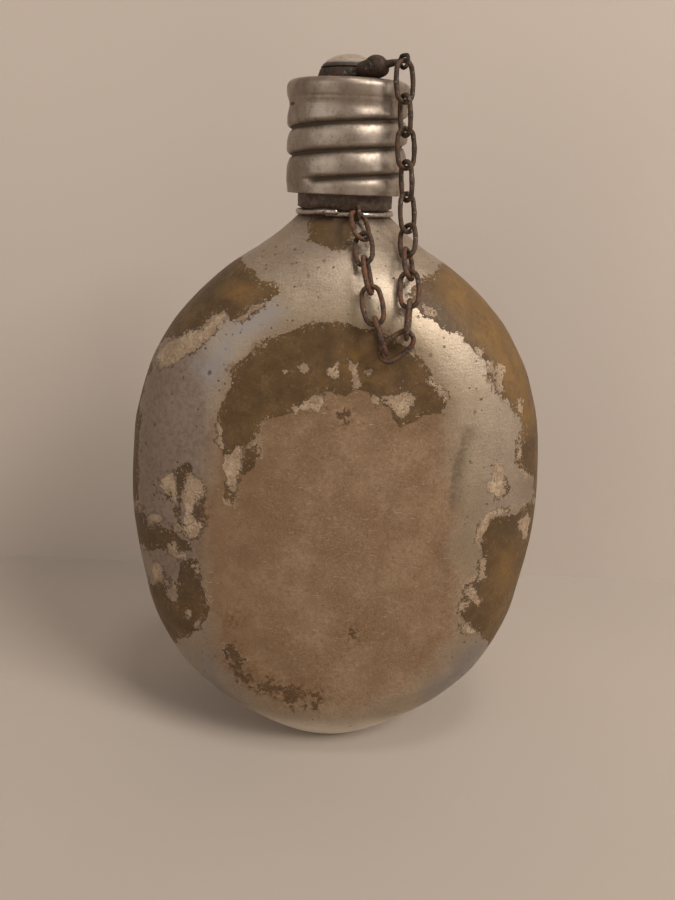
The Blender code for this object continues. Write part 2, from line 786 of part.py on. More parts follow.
def chain_links(surface):
    """One object for each link, all of one mesh, each carried by an empty at its own joint."""
    near, far = hang_chain()
    joints = joint_places(near, far)
    bm = bmesh.new()
    swept_loop(bm, link_path(), Vector((0, 1, 0)), LINK_WIRE)
    first = finish(bm, "chain_link_01", surface)
    for index, roll in enumerate(LINK_ROLLS):
        link = first if index == 0 else bpy.data.objects.new(f"chain_link_{index + 1:02d}", first.data)
        if index > 0:
            bpy.context.scene.collection.objects.link(link)
        joint = bpy.data.objects.new(f"chain_joint_{index + 1:02d}", None)
        joint.location = joints[index]
        joint.empty_display_size = LINK_WIRE
        bpy.context.scene.collection.objects.link(joint)
        place = link_frame(near[index], far[index], roll)
        link.parent = joint
        link.location = place.to_translation() - joints[index]
        link.rotation_euler = place.to_euler()


def build():
    """Clear the scene and make every piece."""
    for old in list(bpy.data.objects):
        bpy.data.objects.remove(old, do_unlink=True)
    worn_aluminium = material("worn_aluminium", (0.56, 0.55, 0.52), 0.9, 0.42)
    cap_aluminium = material("cap_aluminium", (0.68, 0.68, 0.67), 1.0, 0.3)
    polished = material("rivet_aluminium", (0.75, 0.74, 0.72), 1.0, 0.22)
    dark_steel = material("dark_steel", (0.10, 0.09, 0.09), 0.8, 0.45)
    rusty_steel = material("rusty_steel", (0.16, 0.11, 0.09), 0.6, 0.6)
    bright_wire = material("bright_wire", (0.66, 0.65, 0.63), 1.0, 0.25)
    rubber = material("seal_rubber", (0.09, 0.07, 0.06), 0.0, 0.8)

    flask_body(worn_aluminium)
    screw_cap(cap_aluminium)
    cap_seal(rubber)
    seal_washer(polished)
    cap_rivet(polished)
    chain_swivel(dark_steel)
    chain_links(rusty_steel)
    neck_ring(bright_wire)


build()
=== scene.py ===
"""Looks of an old aluminium field flask: remains of paint, a satin screw cap and a rusty chain."""
import math
from types import SimpleNamespace

import bmesh
import bpy
import numpy as np
from mathutils import Matrix, Vector, noise


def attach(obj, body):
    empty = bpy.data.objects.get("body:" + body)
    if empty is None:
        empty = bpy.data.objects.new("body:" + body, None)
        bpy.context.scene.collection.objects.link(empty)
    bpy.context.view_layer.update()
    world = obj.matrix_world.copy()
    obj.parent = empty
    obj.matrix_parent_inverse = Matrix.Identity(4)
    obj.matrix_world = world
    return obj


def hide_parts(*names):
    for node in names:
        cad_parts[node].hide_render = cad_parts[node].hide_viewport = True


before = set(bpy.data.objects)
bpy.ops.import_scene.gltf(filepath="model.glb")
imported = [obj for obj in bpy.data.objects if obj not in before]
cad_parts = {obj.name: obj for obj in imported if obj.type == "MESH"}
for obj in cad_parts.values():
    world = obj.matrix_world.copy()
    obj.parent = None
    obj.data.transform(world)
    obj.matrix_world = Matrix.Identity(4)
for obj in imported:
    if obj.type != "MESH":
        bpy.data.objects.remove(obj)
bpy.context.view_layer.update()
MM = 0.001

# Flask body in millimetres, as in the CAD part.
BODY_WIDTH = 125.6
BODY_DEPTH = 68.0
SHOULDER_HEIGHT = 163.3
FOOT_RADIUS = 17.0
WALL = 1.2
BODY_OUTLINE = (
    (0.021, 0.36), (0.055, 0.486), (0.104, 0.656), (0.184, 0.828), (0.306, 0.948),
    (0.478, 1.0), (0.612, 0.981), (0.723, 0.908), (0.802, 0.80), (0.863, 0.669),
    (0.912, 0.522), (0.949, 0.376), (0.98, 0.271),
)
WIDEST_SHARE = 0.478
BODY_SQUARENESS = 0.6
PANEL_WIDTH = 68.0
PANEL_HEIGHT = 121.0
PANEL_MIDDLE = 78.0
PANEL_SINK = 1.3
PANEL_EDGE = 0.16

# Neck, cap and screw thread in millimetres, as in the CAD part; the turns of round edges are in degrees.
NECK_RADIUS = 13.5
NECK_BORE = 12.3
GROOVE_ROOT = 12.2
GROOVE_TOP = 165.9
THREAD_LOW = 170.3
THREAD_ROOT = 14.2
THREAD_CREST = 15.4
LIP_HEIGHT = 195.0
LIP_ROUND = 0.5
LIP_TURNS = (30, 60, 90, 120, 150)
CAP_LOW = 169.5
CAP_HIGH = 199.0
CAP_BAND = 17.1
CAP_RIDGE = 16.9
CAP_SKIRT = 16.6
CAP_WALL = 0.8
CAP_ROUND = 2.0
CAP_TURNS = range(9, 91, 9)
CAP_RIM = 0.15
INNER_CORNER = (1.6, 0.6)
THREAD_PITCH = 7.0
THREAD_FLANK = 1.5
GROOVE_START = math.radians(233.0)
GROOVE_TURNS = 2.86
GROOVE_RUN_OUT = 0.07
GROOVE_RISE = 3.8
GROOVE_DEPTH = 1.45
GROOVE_FLAT = (0.3, 0.45)
GROOVE_FLANKS = (1.3, 4.2)
GROOVE_SPLIT = 0.72

# The cap's waist, the fine line above it, and a nick: angles in radians, the rest in millimetres.
WAIST_HEIGHT = 192.2
WAIST_DEPTH = 0.38
WAIST_SPREAD = 1.7
LINE_HEIGHT = 194.3
LINE_DEPTH = 0.09
LINE_SPREAD = 0.25
NICK_ANGLE = math.radians(202.0)
NICK_HEIGHT = 192.5
NICK_SPREAD = (0.14, 0.55)
NICK_DEPTH = 0.42

# How dark the cap is, from 0 to 1: dirt with painted shade in the groove, painted shade on the rim's
# underside, darker inside, and darker round the rivet, where it begins at a radius and grows over a stretch.
RIM_SHARES = (0.25, 0.5, 0.75)
RIM_SHADE = 0.3
INSIDE_DARKENING = 0.4
TOP_DARKENING = (11.5, 3)

# Seal, washer, rivet, swivel, ring and links in millimetres, as in the CAD part.
PLAY = 0.3
RIVET_SHANK = 2.0
RIVET_HEAD_RADIUS = 8.8
RIVET_HEAD_LOW = 202.25
RIVET_TOP = 206.2
RIVET_TAIL_RADIUS = 3.6
RIVET_TAIL = 1.4
RIVET_TAIL_ROUND = 1.0
TIP_RADIUS = 0.02
DOME_POWER = 2.2
SEAL_TOP = 197.9
SEAL_THICKNESS = 2.6
SEAL_RADIUS = 14.8
SEAL_EDGE = 0.5
WASHER_TOP = 195.0
WASHER_THICKNESS = 0.8
WASHER_RADIUS = 9.0
WASHER_EDGE = 0.2
SWIVEL_RADIUS = 8.5
SWIVEL_THICKNESS = 2.8
SWIVEL_EDGE = 0.4
PLATE_BEVEL = (0.3, 0.5)
LUG_ANGLE = math.radians(-58.0)
LUG_LENGTH = 7.0
LUG_HEIGHT = 5.4
TONGUE_RADIUS = 1.3
ARM_RADII = (1.3, 0.8)
EYE_ANGLE = math.radians(-46.0)
EYE_RISE = 3.9
EYE_SQUAT = 1.25
EYE_TWIST = math.radians(-10.0)
EYE_RADIUS = 1.7
EYE_WIRE = 0.55
LINK_LENGTH = 11.4
LINK_WIDTH = 6.2
LINK_WIRE = 0.72
LINK_SKIN = 0.66
LINK_BOW = 0.22
LINK_COUNT = 15
BROWN_LINKS = 6
RING_RADIUS = 13.3
RING_HEIGHT = 164.6
RING_WIRE = 0.8
RING_EYE_ANGLE = math.radians(-77.0)
RING_EYE_REACH = 2.5
RING_EYE_RISE = 0.4

# The swivel's lug as three lumps: each one's shift, its turn in radians, and its size.
LUG_LUMPS = (
    ((0.2, 0, 0.1), 0.0, (6.8, 5.4, 5.5)),
    ((0.5, 0.2, -0.6), 0.4, (6.6, 5.2, 4.4)),
    ((-1.9, 0.7, -0.5), 0.0, (6.6, 4.8, 4.2)),
)
LUG_VOXEL = 0.2
LUG_SMOOTHING = (6, 0.5)
LUMP_STEPS = (40, 24)
ROD_SIDES = 24

# The neck wire starts and ends beside the chain, and its last stretch lies outside and above the first:
# the lap's start and run are shares of the wire, and the rest is in millimetres.
RING_ENDS = (math.radians(-112), math.radians(262))
RING_STEPS = 180
LAP_START = 0.88
LAP_RUN = 0.09
LAP_OUT = 1.4
LAP_DROP = 0.2
LAP_RISE = 0.6

# The weld in one side of each link: how far it reaches, its swell and its spread.
WELD_REACH = 2.0
WELD_SWELL = 0.14
WELD_SPREAD = 1.1

# Unevenness: a height, or a share of the wire's radius, the size of its waves, and its seed.
BODY_UNEVEN = ((0.35, 30, 3), (0.12, 9, 5))
CAP_UNEVEN = ((0.06, 12, 7), (0.03, 4, 9))
RIVET_WORN = (0.15, 5, 11)
WIRE_UNEVEN = ((0.05, 2.6, 0), (0.03, 0.8, 1))
NECK_WIRE_SEED = 21
NECK_EYE_SEED = 23
SWIVEL_EYE_SEED = 25
LINK_SEEDS = (31, 3)

# The body stays even near its foot and its shoulder: each pair is a start and a run in millimetres.
STILL_FOOT = (1, 6)
STILL_SHOULDER = (2, 8)

# Where the rivet's worn crown, and its rubbed crown with a painted highlight above painted shade, begin above
# the head's foot, and over what height.
RIVET_CROWN = (0.5, 1.5)
RIVET_LIT_RISE = (0.2, 2.4)

# A wire's cut end narrows to a share of its radius, and reaches out by a share of it.
TIP_NARROWS = 0.6
TIP_REACH = 0.35

# A rounded corner takes at most one part in this many of its sides.
CORNER_PART = 2.2
CORNER_STEPS = 4

# Keeps a direction of no length from being divided by 0.
TINY = 1e-9

# Rows, columns and steps of the dense skins.
COLUMN_PROBES = 6001
ROW_PROBES = 3001
FLASK_COLUMNS = 400
FRONT_WEIGHT = 1.7
BODY_ROWS = 170
THREAD_ROWS = 42
BORE_ROWS = 5
INSIDE_ROWS = 8
FOOT_SHARES = (0.03, 0.3, 0.6, 0.85, 0.96)
CAP_COLUMNS = 220
CAP_ROWS = 100
CAP_TOP_RADII = (12.0, 10.0, 8.0)
TURNED_STEPS = 128
RIVET_ROWS = 30
RIVET_FIRST_ROW = 0.03
WIRE_SIDES = 14
EYE_STEPS = 36
LINK_BEND_STEPS = 16
LINK_SIDE_STEPS = 10

# The photograph's camera, fitted to its picture: pixels, millimetres and degrees.
PHOTO_SIZE = (675, 900)
FOCUS = 850.0
SENSOR = 36.0
CAMERA_AT = Vector((0.5, -254.0, 174.5))
CAMERA_DIP = 17.9
CAMERA_ROLL = 2.1
PIXEL = 0.28

# How far the edges of the patches wander, in pixels on the front and millimetres on the back,
# and the sizes of those waves in millimetres with their seeds.
FRONT_SWAY = 2.4
BACK_SWAY = 3.2
SWAYS = ((4.5, (51, 57)), (11, (61, 67)))

# The front's patches give way to the back's where the skin turns away from the camera: the cosine
# over which they do.
TURN_AWAY = 0.35

# How deep a place is taken to lie in a patch that is far away, and on the neck.
FAR_OUTSIDE = -99.0
NO_PATCH = -20.0

# The painted bounce light on the foot ends at this height, and the neck's darkening begins this far below the
# shoulder;
# the second number is the stretch over which each fades, in millimetres.
FOOT_LIGHT_END = (18, 11)
NECK_DARKENING = (2.5, 3)

# Shallow dents in the front, in photo pixels: a bent line, its half width, and its depth in millimetres.
DENTS = (
    (((466, 436), (456, 468), (450, 506)), 8, 0.55),
    (((440, 560), (447, 590)), 10, 0.25),
    (((262, 655), (285, 668)), 12, 0.3),
)

# Remains of olive paint on the front, as outlines in photo pixels.
FRONT_OLIVE = (
    ((238, 256), (250, 268), (262, 280), (275, 283), (281, 290), (270, 302), (254, 307), (241, 318),
     (230, 323), (222, 312), (208, 322), (196, 330), (182, 337), (165, 339), (140, 352), (150, 290),
     (200, 240)),
    ((318, 200), (311, 216), (307, 229), (309, 240), (317, 248), (332, 252), (346, 250), (355, 238),
     (360, 200)),
    ((217, 425), (219, 412), (226, 392), (234, 368), (247, 356), (266, 341), (292, 329), (320, 322),
     (350, 323), (378, 330), (400, 342), (420, 357), (432, 370), (442, 388), (447, 405), (440, 412),
     (424, 415), (410, 424), (398, 428), (391, 408), (372, 398), (356, 390), (345, 396), (320, 394),
     (306, 401), (296, 412), (278, 418), (262, 420), (256, 438), (244, 448), (236, 458), (222, 456),
     (218, 440)),
    ((223, 476), (229, 484), (236, 494), (233, 503), (226, 498)),
    ((246, 448), (256, 447), (259, 458), (254, 469), (244, 474), (237, 470), (243, 460)),
    ((442, 262), (431, 276), (416, 283), (411, 292), (414, 308), (432, 319), (443, 331), (462, 335),
     (472, 348), (484, 364), (492, 379), (502, 395), (514, 410), (521, 426), (521, 441), (514, 452),
     (519, 465), (531, 478), (534, 500), (562, 500), (566, 390), (520, 290), (470, 250)),
    ((486, 520), (498, 517), (518, 511), (533, 502), (564, 500), (556, 580), (520, 645), (496, 648),
     (476, 634), (462, 618), (457, 608), (466, 594), (465, 586), (479, 578), (481, 560), (480, 545),
     (482, 534)),
    ((153, 360), (146, 382), (141, 408), (139, 440), (138, 480), (140, 500), (126, 500), (124, 430),
     (136, 370)),
    ((138, 508), (146, 513), (149, 524), (162, 528), (173, 530), (181, 538), (192, 540), (189, 549),
     (176, 553), (163, 550), (150, 549), (130, 552), (128, 510)),
    ((150, 584), (165, 583), (171, 597), (177, 602), (176, 580), (177, 566), (186, 558), (197, 558),
     (203, 585), (208, 600), (211, 610), (203, 622), (198, 632), (184, 637), (165, 646), (140, 620)),
    ((176, 470), (184, 461), (193, 462), (194, 472), (186, 476), (183, 492), (181, 508), (183, 534),
     (178, 526), (176, 500)),
    ((225, 645), (235, 643), (239, 652), (246, 659), (238, 664), (229, 658)),
)

# Cream undercoat that shows where the paint has chipped, in photo pixels.
FRONT_CREAM = (
    ((226, 312), (213, 317), (200, 329), (188, 331), (176, 338), (162, 346), (154, 358), (160, 368),
     (172, 364), (182, 357), (197, 351), (206, 340), (214, 329), (224, 321)),
    ((264, 303), (254, 306), (242, 316), (236, 322), (246, 318), (256, 309), (266, 306)),
    ((393, 396), (402, 393), (412, 394), (415, 398), (409, 410), (404, 418), (398, 415), (390, 405),
     (371, 403), (370, 397)),
    ((427, 379), (433, 375), (440, 384), (446, 394), (447, 404), (442, 404), (438, 393)),
    ((347, 356), (353, 364), (359, 363), (358, 372), (361, 386), (356, 388), (349, 372)),
    ((326, 371), (334, 364), (341, 362), (341, 378), (334, 377), (327, 376)),
    ((280, 368), (287, 369), (287, 375), (281, 375)),
    ((293, 409), (301, 402), (312, 395), (325, 396), (326, 404), (321, 413), (311, 408), (302, 411),
     (296, 414)),
    ((224, 456), (234, 454), (239, 446), (246, 447), (241, 458), (240, 470), (235, 491), (228, 487),
     (223, 472)),
    ((217, 424), (221, 424), (222, 440), (225, 453), (219, 450), (216, 438)),
    ((496, 462), (504, 469), (503, 480), (506, 490), (500, 498), (490, 496), (485, 487), (493, 477)),
    ((481, 522), (486, 514), (497, 509), (507, 511), (499, 516), (489, 518), (487, 528), (482, 537),
     (480, 552), (476, 546), (477, 533)),
    ((482, 556), (486, 556), (484, 578), (479, 580), (480, 566)),
    ((464, 592), (469, 586), (477, 586), (476, 595), (484, 602), (478, 606), (470, 598)),
    ((457, 609), (463, 601), (467, 606), (461, 613)),
    ((460, 626), (468, 622), (479, 635), (468, 636)),
    ((157, 486), (162, 473), (171, 473), (178, 487), (178, 504), (169, 499), (163, 492)),
    ((187, 474), (199, 478), (206, 489), (202, 498), (193, 503), (192, 515), (202, 524), (200, 536),
     (187, 537), (182, 524), (182, 500), (185, 488)),
    ((148, 516), (158, 513), (164, 520), (158, 523), (150, 523)),
    ((172, 524), (179, 524), (182, 532), (175, 531)),
    ((168, 545), (175, 543), (178, 551), (186, 553), (187, 559), (178, 558), (168, 553)),
    ((150, 565), (159, 563), (163, 573), (162, 582), (153, 583)),
    ((192, 560), (198, 563), (201, 579), (195, 573)),
    ((185, 609), (192, 612), (190, 618), (184, 617)),
    ((516, 444), (520, 446), (521, 462), (517, 458)),
    ((422, 305), (440, 311), (432, 316), (424, 314)),
    ((520, 520), (526, 513), (530, 520), (527, 540), (523, 536)),
    ((475, 347), (483, 348), (484, 360), (478, 360)),
    ((485, 360), (493, 362), (493, 372), (486, 371)),
    ((497, 364), (507, 364), (505, 376), (499, 377)),
    ((495, 377), (504, 380), (503, 394), (496, 391)),
    ((517, 398), (523, 400), (523, 415), (518, 412)),
    ((400, 381), (405, 383), (404, 389), (400, 386)),
    ((364, 370), (371, 371), (370, 376), (365, 375)),
    ((299, 366), (307, 367), (306, 372), (300, 372)),
    ((410, 347), (416, 348), (415, 357), (410, 355)),
    ((194, 621), (199, 622), (198, 629), (193, 628)),
    ((165, 579), (169, 580), (168, 584), (164, 583)),
    ((139, 507), (143, 508), (142, 512), (139, 511)),
    ((142, 545), (146, 546), (145, 550), (142, 549)),
)

# The worn primer that is left on the front panel, in photo pixels.
FRONT_PRIMER = (
    ((222, 420), (211, 460), (204, 505), (203, 560), (208, 610), (219, 650), (234, 682), (258, 699),
     (288, 708), (322, 712), (352, 712), (386, 700), (414, 684), (442, 664), (454, 640), (460, 600),
     (458, 560), (453, 520), (448, 480), (450, 440), (447, 400), (425, 360), (390, 338), (340, 327),
     (290, 332), (252, 358), (232, 385)),
)

# Violet-brown dusty oxide on the left of the front, darker than the metal partly as painted shade, and
# painted shade on the olive under the cap, in photo pixels.
FRONT_DUST_AND_SHADE = (
    ((150, 348), (176, 340), (196, 345), (212, 362), (210, 400), (208, 450), (210, 500), (206, 560),
     (190, 590), (150, 580), (134, 500), (136, 400)),
    ((310, 222), (350, 222), (348, 246), (326, 249), (310, 242)),
)

# A bluish oxide tone on the bare metal, partly a painted sheen of bluish reflected light, in photo pixels.
FRONT_HAZE_AND_SHEEN = (
    ((200, 366), (210, 346), (226, 328), (242, 316), (256, 306), (274, 304), (284, 312), (270, 324),
     (248, 338), (232, 354), (220, 376), (206, 388)),
    ((424, 688), (445, 670), (468, 646), (488, 642), (480, 662), (456, 688), (430, 706)),
    ((194, 650), (210, 660), (222, 684), (246, 708), (262, 724), (240, 716), (214, 692)),
)

# Where the olive paint has faded to ochre, in photo pixels.
FRONT_OCHRE = (
    ((440, 270), (462, 268), (500, 310), (524, 360), (534, 420), (522, 440), (508, 400), (488, 362),
     (462, 330), (444, 305)),
    ((498, 545), (512, 548), (514, 580), (502, 588), (496, 570)),
    ((215, 292), (240, 280), (262, 290), (240, 305)),
    ((340, 348), (376, 350), (390, 372), (376, 384), (350, 382), (336, 366)),
)

# Dark brown flecks along the foot of the panel, in photo pixels.
FRONT_FLECKS = (
    ((282, 689), (292, 686), (306, 689), (304, 699), (294, 705), (284, 700)),
    ((254, 684), (270, 682), (284, 688), (282, 694), (268, 692), (256, 692)),
    ((234, 672), (250, 672), (252, 681), (240, 682)),
    ((304, 702), (321, 702), (320, 709), (306, 708)),
    ((308, 692), (321, 693), (320, 700), (309, 699)),
    ((226, 650), (236, 646), (244, 662), (248, 672), (238, 676), (230, 664)),
    ((230, 620), (237, 618), (237, 623), (231, 624)),
    ((350, 631), (358, 632), (356, 638), (351, 637)),
    ((338, 412), (348, 413), (347, 420), (339, 419)),
    ((194, 504), (203, 500), (206, 507), (202, 518), (195, 516)),
    ((163, 496), (170, 493), (171, 499), (165, 501)),
)

# The same remains on the back, seen from behind: across and height in millimetres.
BACK_OLIVE = (
    ((-30, 152), (-19, 143), (-14, 138), (-20, 131), (-27, 129), (-31, 122), (-39, 120), (-44, 111),
     (-50, 107), (-53, 97), (-60, 93), (-80, 90), (-80, 140), (-50, 162)),
    ((26, 152), (20, 147), (15, 140), (23, 134), (27, 128), (36, 128), (43, 119), (45, 111), (51, 106),
     (55, 96), (80, 98), (80, 140), (50, 165)),
    ((-27, 130), (-19, 137), (-8, 140), (4, 140), (15, 137), (24, 131), (31, 122), (34, 112), (28, 110),
     (21, 112), (15, 116), (8, 113), (1, 117), (-6, 112), (-12, 118), (-18, 112), (-22, 106), (-27, 99),
     (-32, 105), (-32, 118)),
    ((-80, 76), (-62, 76), (-55, 71), (-50, 64), (-48, 57), (-51, 50), (-45, 42), (-42, 35), (-48, 27),
     (-58, 22), (-80, 18)),
    ((80, 64), (62, 69), (55, 64), (53, 57), (47, 53), (44, 45), (39, 40), (37, 31), (43, 22), (52, 16),
     (80, 12)),
    ((-16, 38), (-8, 42), (-2, 39), (5, 41), (12, 36), (16, 29), (12, 25), (5, 26), (-2, 23), (-9, 27)),
    ((-6, 160), (8, 160), (11, 152), (4, 147), (-3, 149)),
)
BACK_CREAM = (
    ((-22, 131), (-30, 126), (-35, 120), (-42, 115), (-46, 107), (-42, 106), (-36, 112), (-30, 117),
     (-24, 123)),
    ((24, 110), (18, 113), (12, 117), (5, 113), (9, 110), (15, 108), (20, 106)),
    ((-30, 104), (-25, 101), (-24, 93), (-28, 88), (-31, 95)),
    ((-50, 63), (-47, 57), (-50, 50), (-44, 43), (-42, 46), (-45, 53), (-44, 60)),
    ((45, 112), (50, 106), (48, 101), (44, 103), (42, 108)),
    ((53, 57), (48, 53), (44, 46), (41, 48), (45, 56), (50, 61)),
    ((-13, 118), (-8, 114), (-3, 112), (-6, 109), (-12, 111)),
    ((12, 36), (17, 29), (20, 31), (17, 37)),
    ((-41, 85), (-37, 88), (-35, 83), (-38, 78)),
    ((38, 88), (42, 90), (41, 84)),
    ((-5, 128), (-2, 130), (0, 126), (-4, 125)),
    ((14, 126), (17, 127), (16, 123)),
)
BACK_PRIMER = (
    ((-30, 118), (-34, 80), (-28, 42), (-12, 22), (14, 22), (30, 44), (34, 84), (28, 120), (8, 134),
     (-14, 133)),
)
BACK_DUST = (
    ((30, 112), (44, 104), (50, 84), (48, 60), (38, 40), (28, 52), (34, 84)),
    ((-20, 14), (0, 10), (22, 14), (14, 22), (-12, 22)),
)
BACK_HAZE = (
    ((-44, 96), (-38, 92), (-36, 70), (-40, 56), (-46, 66)),
    ((30, 34), (36, 46), (30, 60), (26, 44)),
)
BACK_OCHRE = (
    ((-52, 60), (-46, 50), (-52, 34), (-70, 30), (-70, 66)),
    ((30, 140), (46, 122), (56, 112), (52, 130)),
)
BACK_FLECKS = (
    ((-14, 22), (-6, 24), (-7, 19), (-13, 18)),
    ((16, 30), (22, 33), (22, 27), (17, 26)),
    ((30, 96), (34, 98), (33, 92), (30, 91)),
)

# The outlines on the front and on the back for each value that the skin holds.
PATCHES = {
    "olive": (FRONT_OLIVE, BACK_OLIVE),
    "cream": (FRONT_CREAM, BACK_CREAM),
    "primer": (FRONT_PRIMER, BACK_PRIMER),
    "flecks": (FRONT_FLECKS, BACK_FLECKS),
    "dust": (FRONT_DUST_AND_SHADE, BACK_DUST),
    "ochre": (FRONT_OCHRE, BACK_OCHRE),
    "haze_and_sheen": (FRONT_HAZE_AND_SHEEN, BACK_HAZE),
}


def smooth_step(value):
    """Ease from 0 to 1 as the value goes from 0 to 1."""
    held = np.clip(value, 0.0, 1.0)
    return held * held * (3 - 2 * held)


def hill(away, spread):
    """1 at no distance, easing to almost 0 at twice the spread."""
    return np.exp(-((away / spread) ** 2))


def even_turns(count):
    """Angles in equal steps round a circle."""
    return np.arange(count) * 2 * math.pi / count


def camera_axes():
    """The photograph's right, up and forward directions."""
    dip = math.radians(CAMERA_DIP)
    roll = math.radians(CAMERA_ROLL)
    forward = Vector((0, math.cos(dip), -math.sin(dip)))
    level = Vector((1, 0, 0))
    upright = level.cross(forward)
    right = level * math.cos(roll) + upright * math.sin(roll)
    up = upright * math.cos(roll) - level * math.sin(roll)
    return right, up, forward


def to_photo(points):
    """Where points in millimetres lie in the photograph, in pixels."""
    right, up, forward = (np.array(axis) for axis in camera_axes())
    away = points - np.array(CAMERA_AT)
    depth = away @ forward
    across = PHOTO_SIZE[0] / 2 + FOCUS * (away @ right) / depth
    down = PHOTO_SIZE[1] / 2 - FOCUS * (away @ up) / depth
    return across, down


def curve_through(knots, places):
    """Values of a smooth curve through the knots that never swings past them."""
    xs, ys = np.array(knots).T
    steps = np.diff(xs)
    grades = np.diff(ys) / steps
    product = grades[:-1] * grades[1:]
    total = np.where(product > 0, grades[:-1] + grades[1:], 1)
    inner = np.where(product > 0, 2 * product / total, 0)
    slopes = np.concatenate([grades[:1], inner, grades[-1:]])
    held = np.clip(places, xs[0], xs[-1])
    part = np.clip(np.searchsorted(xs, held, side="right") - 1, 0, len(steps) - 1)
    step = steps[part]
    t = (held - xs[part]) / step
    rise = ys[part] * (2 * t**3 - 3 * t**2 + 1) + ys[part + 1] * (3 * t**2 - 2 * t**3)
    return rise + step * (slopes[part] * (t**3 - 2 * t**2 + t) + slopes[part + 1] * (t**3 - t**2))


def body_section(height):
    """Half width, half depth and squareness of the flask at a height."""
    middle = [(up * SHOULDER_HEIGHT, out * BODY_WIDTH / 2) for up, out in BODY_OUTLINE]
    knots = [(0.0, FOOT_RADIUS)] + middle + [(SHOULDER_HEIGHT, NECK_RADIUS)]
    half_width = curve_through(knots, height)
    wide = BODY_WIDTH / 2 - NECK_RADIUS
    deep = BODY_DEPTH / 2 - NECK_RADIUS
    share = np.clip((half_width - NECK_RADIUS) / wide, 0, 1)
    half_depth = NECK_RADIUS + deep * (1 - (1 - share) ** (wide / deep))
    return half_width, half_depth, 2 + BODY_SQUARENESS * share


def body_ring(angles, height, inset=0.0):
    """One level row of the flask's skin."""
    half_width, half_depth, square = body_section(height)
    c = np.cos(angles)
    s = np.sin(angles)
    x = (half_width - inset) * np.sign(c) * np.abs(c) ** (2 / square)
    y = (half_depth - inset) * np.sign(s) * np.abs(s) ** (2 / square)
    reach = np.hypot(x / (PANEL_WIDTH / 2), (height - PANEL_MIDDLE) / (PANEL_HEIGHT / 2))
    sink = PANEL_SINK * smooth_step((1 + PANEL_EDGE - reach) / (2 * PANEL_EDGE))
    return np.stack([x, y - np.sign(s) * sink * s**2, np.full_like(x, height)], axis=1)


def circle(angles, radius, height):
    """One level round row, whose radius may change from place to place."""
    radius = np.broadcast_to(radius, angles.shape)
    return np.stack([radius * np.cos(angles), radius * np.sin(angles), np.full_like(angles, height)], axis=1)


def bulge(share):
    """From 1 in a crease to 0 on the crown of a rounded ridge."""
    return 1 - np.sqrt(np.clip(1 - (1 - np.clip(share, 0, 1)) ** 2, 0, 1))


def groove_share(angle, height, wider=0.0, turns=GROOVE_TURNS):
    """Depth share of the rolled groove, whose ridges are rounded, more steeply on their lower side."""
    round_share = (angle - GROOVE_START) / (2 * math.pi)
    climb = (height - CAP_LOW - GROOVE_RISE) / THREAD_PITCH - round_share
    nearest = np.floor(climb + GROOVE_SPLIT)
    away = (climb - nearest) * THREAD_PITCH
    done = nearest + round_share
    upper = bulge((away - GROOVE_FLAT[0] - wider) / GROOVE_FLANKS[0])
    lower = bulge((-away - GROOVE_FLAT[1] - wider) / GROOVE_FLANKS[1])
    begun = smooth_step(done / GROOVE_RUN_OUT + 0.5)
    ended = smooth_step((turns - done) / GROOVE_RUN_OUT + 0.5)
    return np.where(away > 0, upper, lower) * begun * ended


def column_angles():
    """Angles round the flask, even along its widest row and closer together on the front."""
    fine = np.linspace(math.pi, 3 * math.pi, COLUMN_PROBES)
    ring = body_ring(fine, WIDEST_SHARE * SHOULDER_HEIGHT)
    steps = np.linalg.norm(np.diff(ring, axis=0), axis=1)
    steps = steps * np.where(fine[1:] < 2 * math.pi, FRONT_WEIGHT, 1.0)
    length = np.concatenate([[0], np.cumsum(steps)])
    return np.interp(np.arange(FLASK_COLUMNS) * length[-1] / FLASK_COLUMNS, length, fine)


def body_heights():
    """Heights of the body's rows, even along its side."""
    fine = np.linspace(0, SHOULDER_HEIGHT, ROW_PROBES)
    half_width = body_section(fine)[0]
    length = np.concatenate([[0], np.cumsum(np.hypot(np.diff(fine), np.diff(half_width)))])
    return np.interp(np.linspace(0, length[-1], BODY_ROWS), length, fine)


def neck_radius(angles, height):
    """Outer radius of the neck's threaded stretch."""
    rise = smooth_step((height - THREAD_LOW) / THREAD_FLANK)
    fall = smooth_step((LIP_HEIGHT - LIP_ROUND - height) / THREAD_FLANK)
    bare = NECK_RADIUS + (THREAD_CREST - NECK_RADIUS) * rise
    bare = THREAD_ROOT + (bare - THREAD_ROOT) * fall
    return bare - max(bare - THREAD_ROOT, 0) * groove_share(angles, height, PLAY, math.inf)


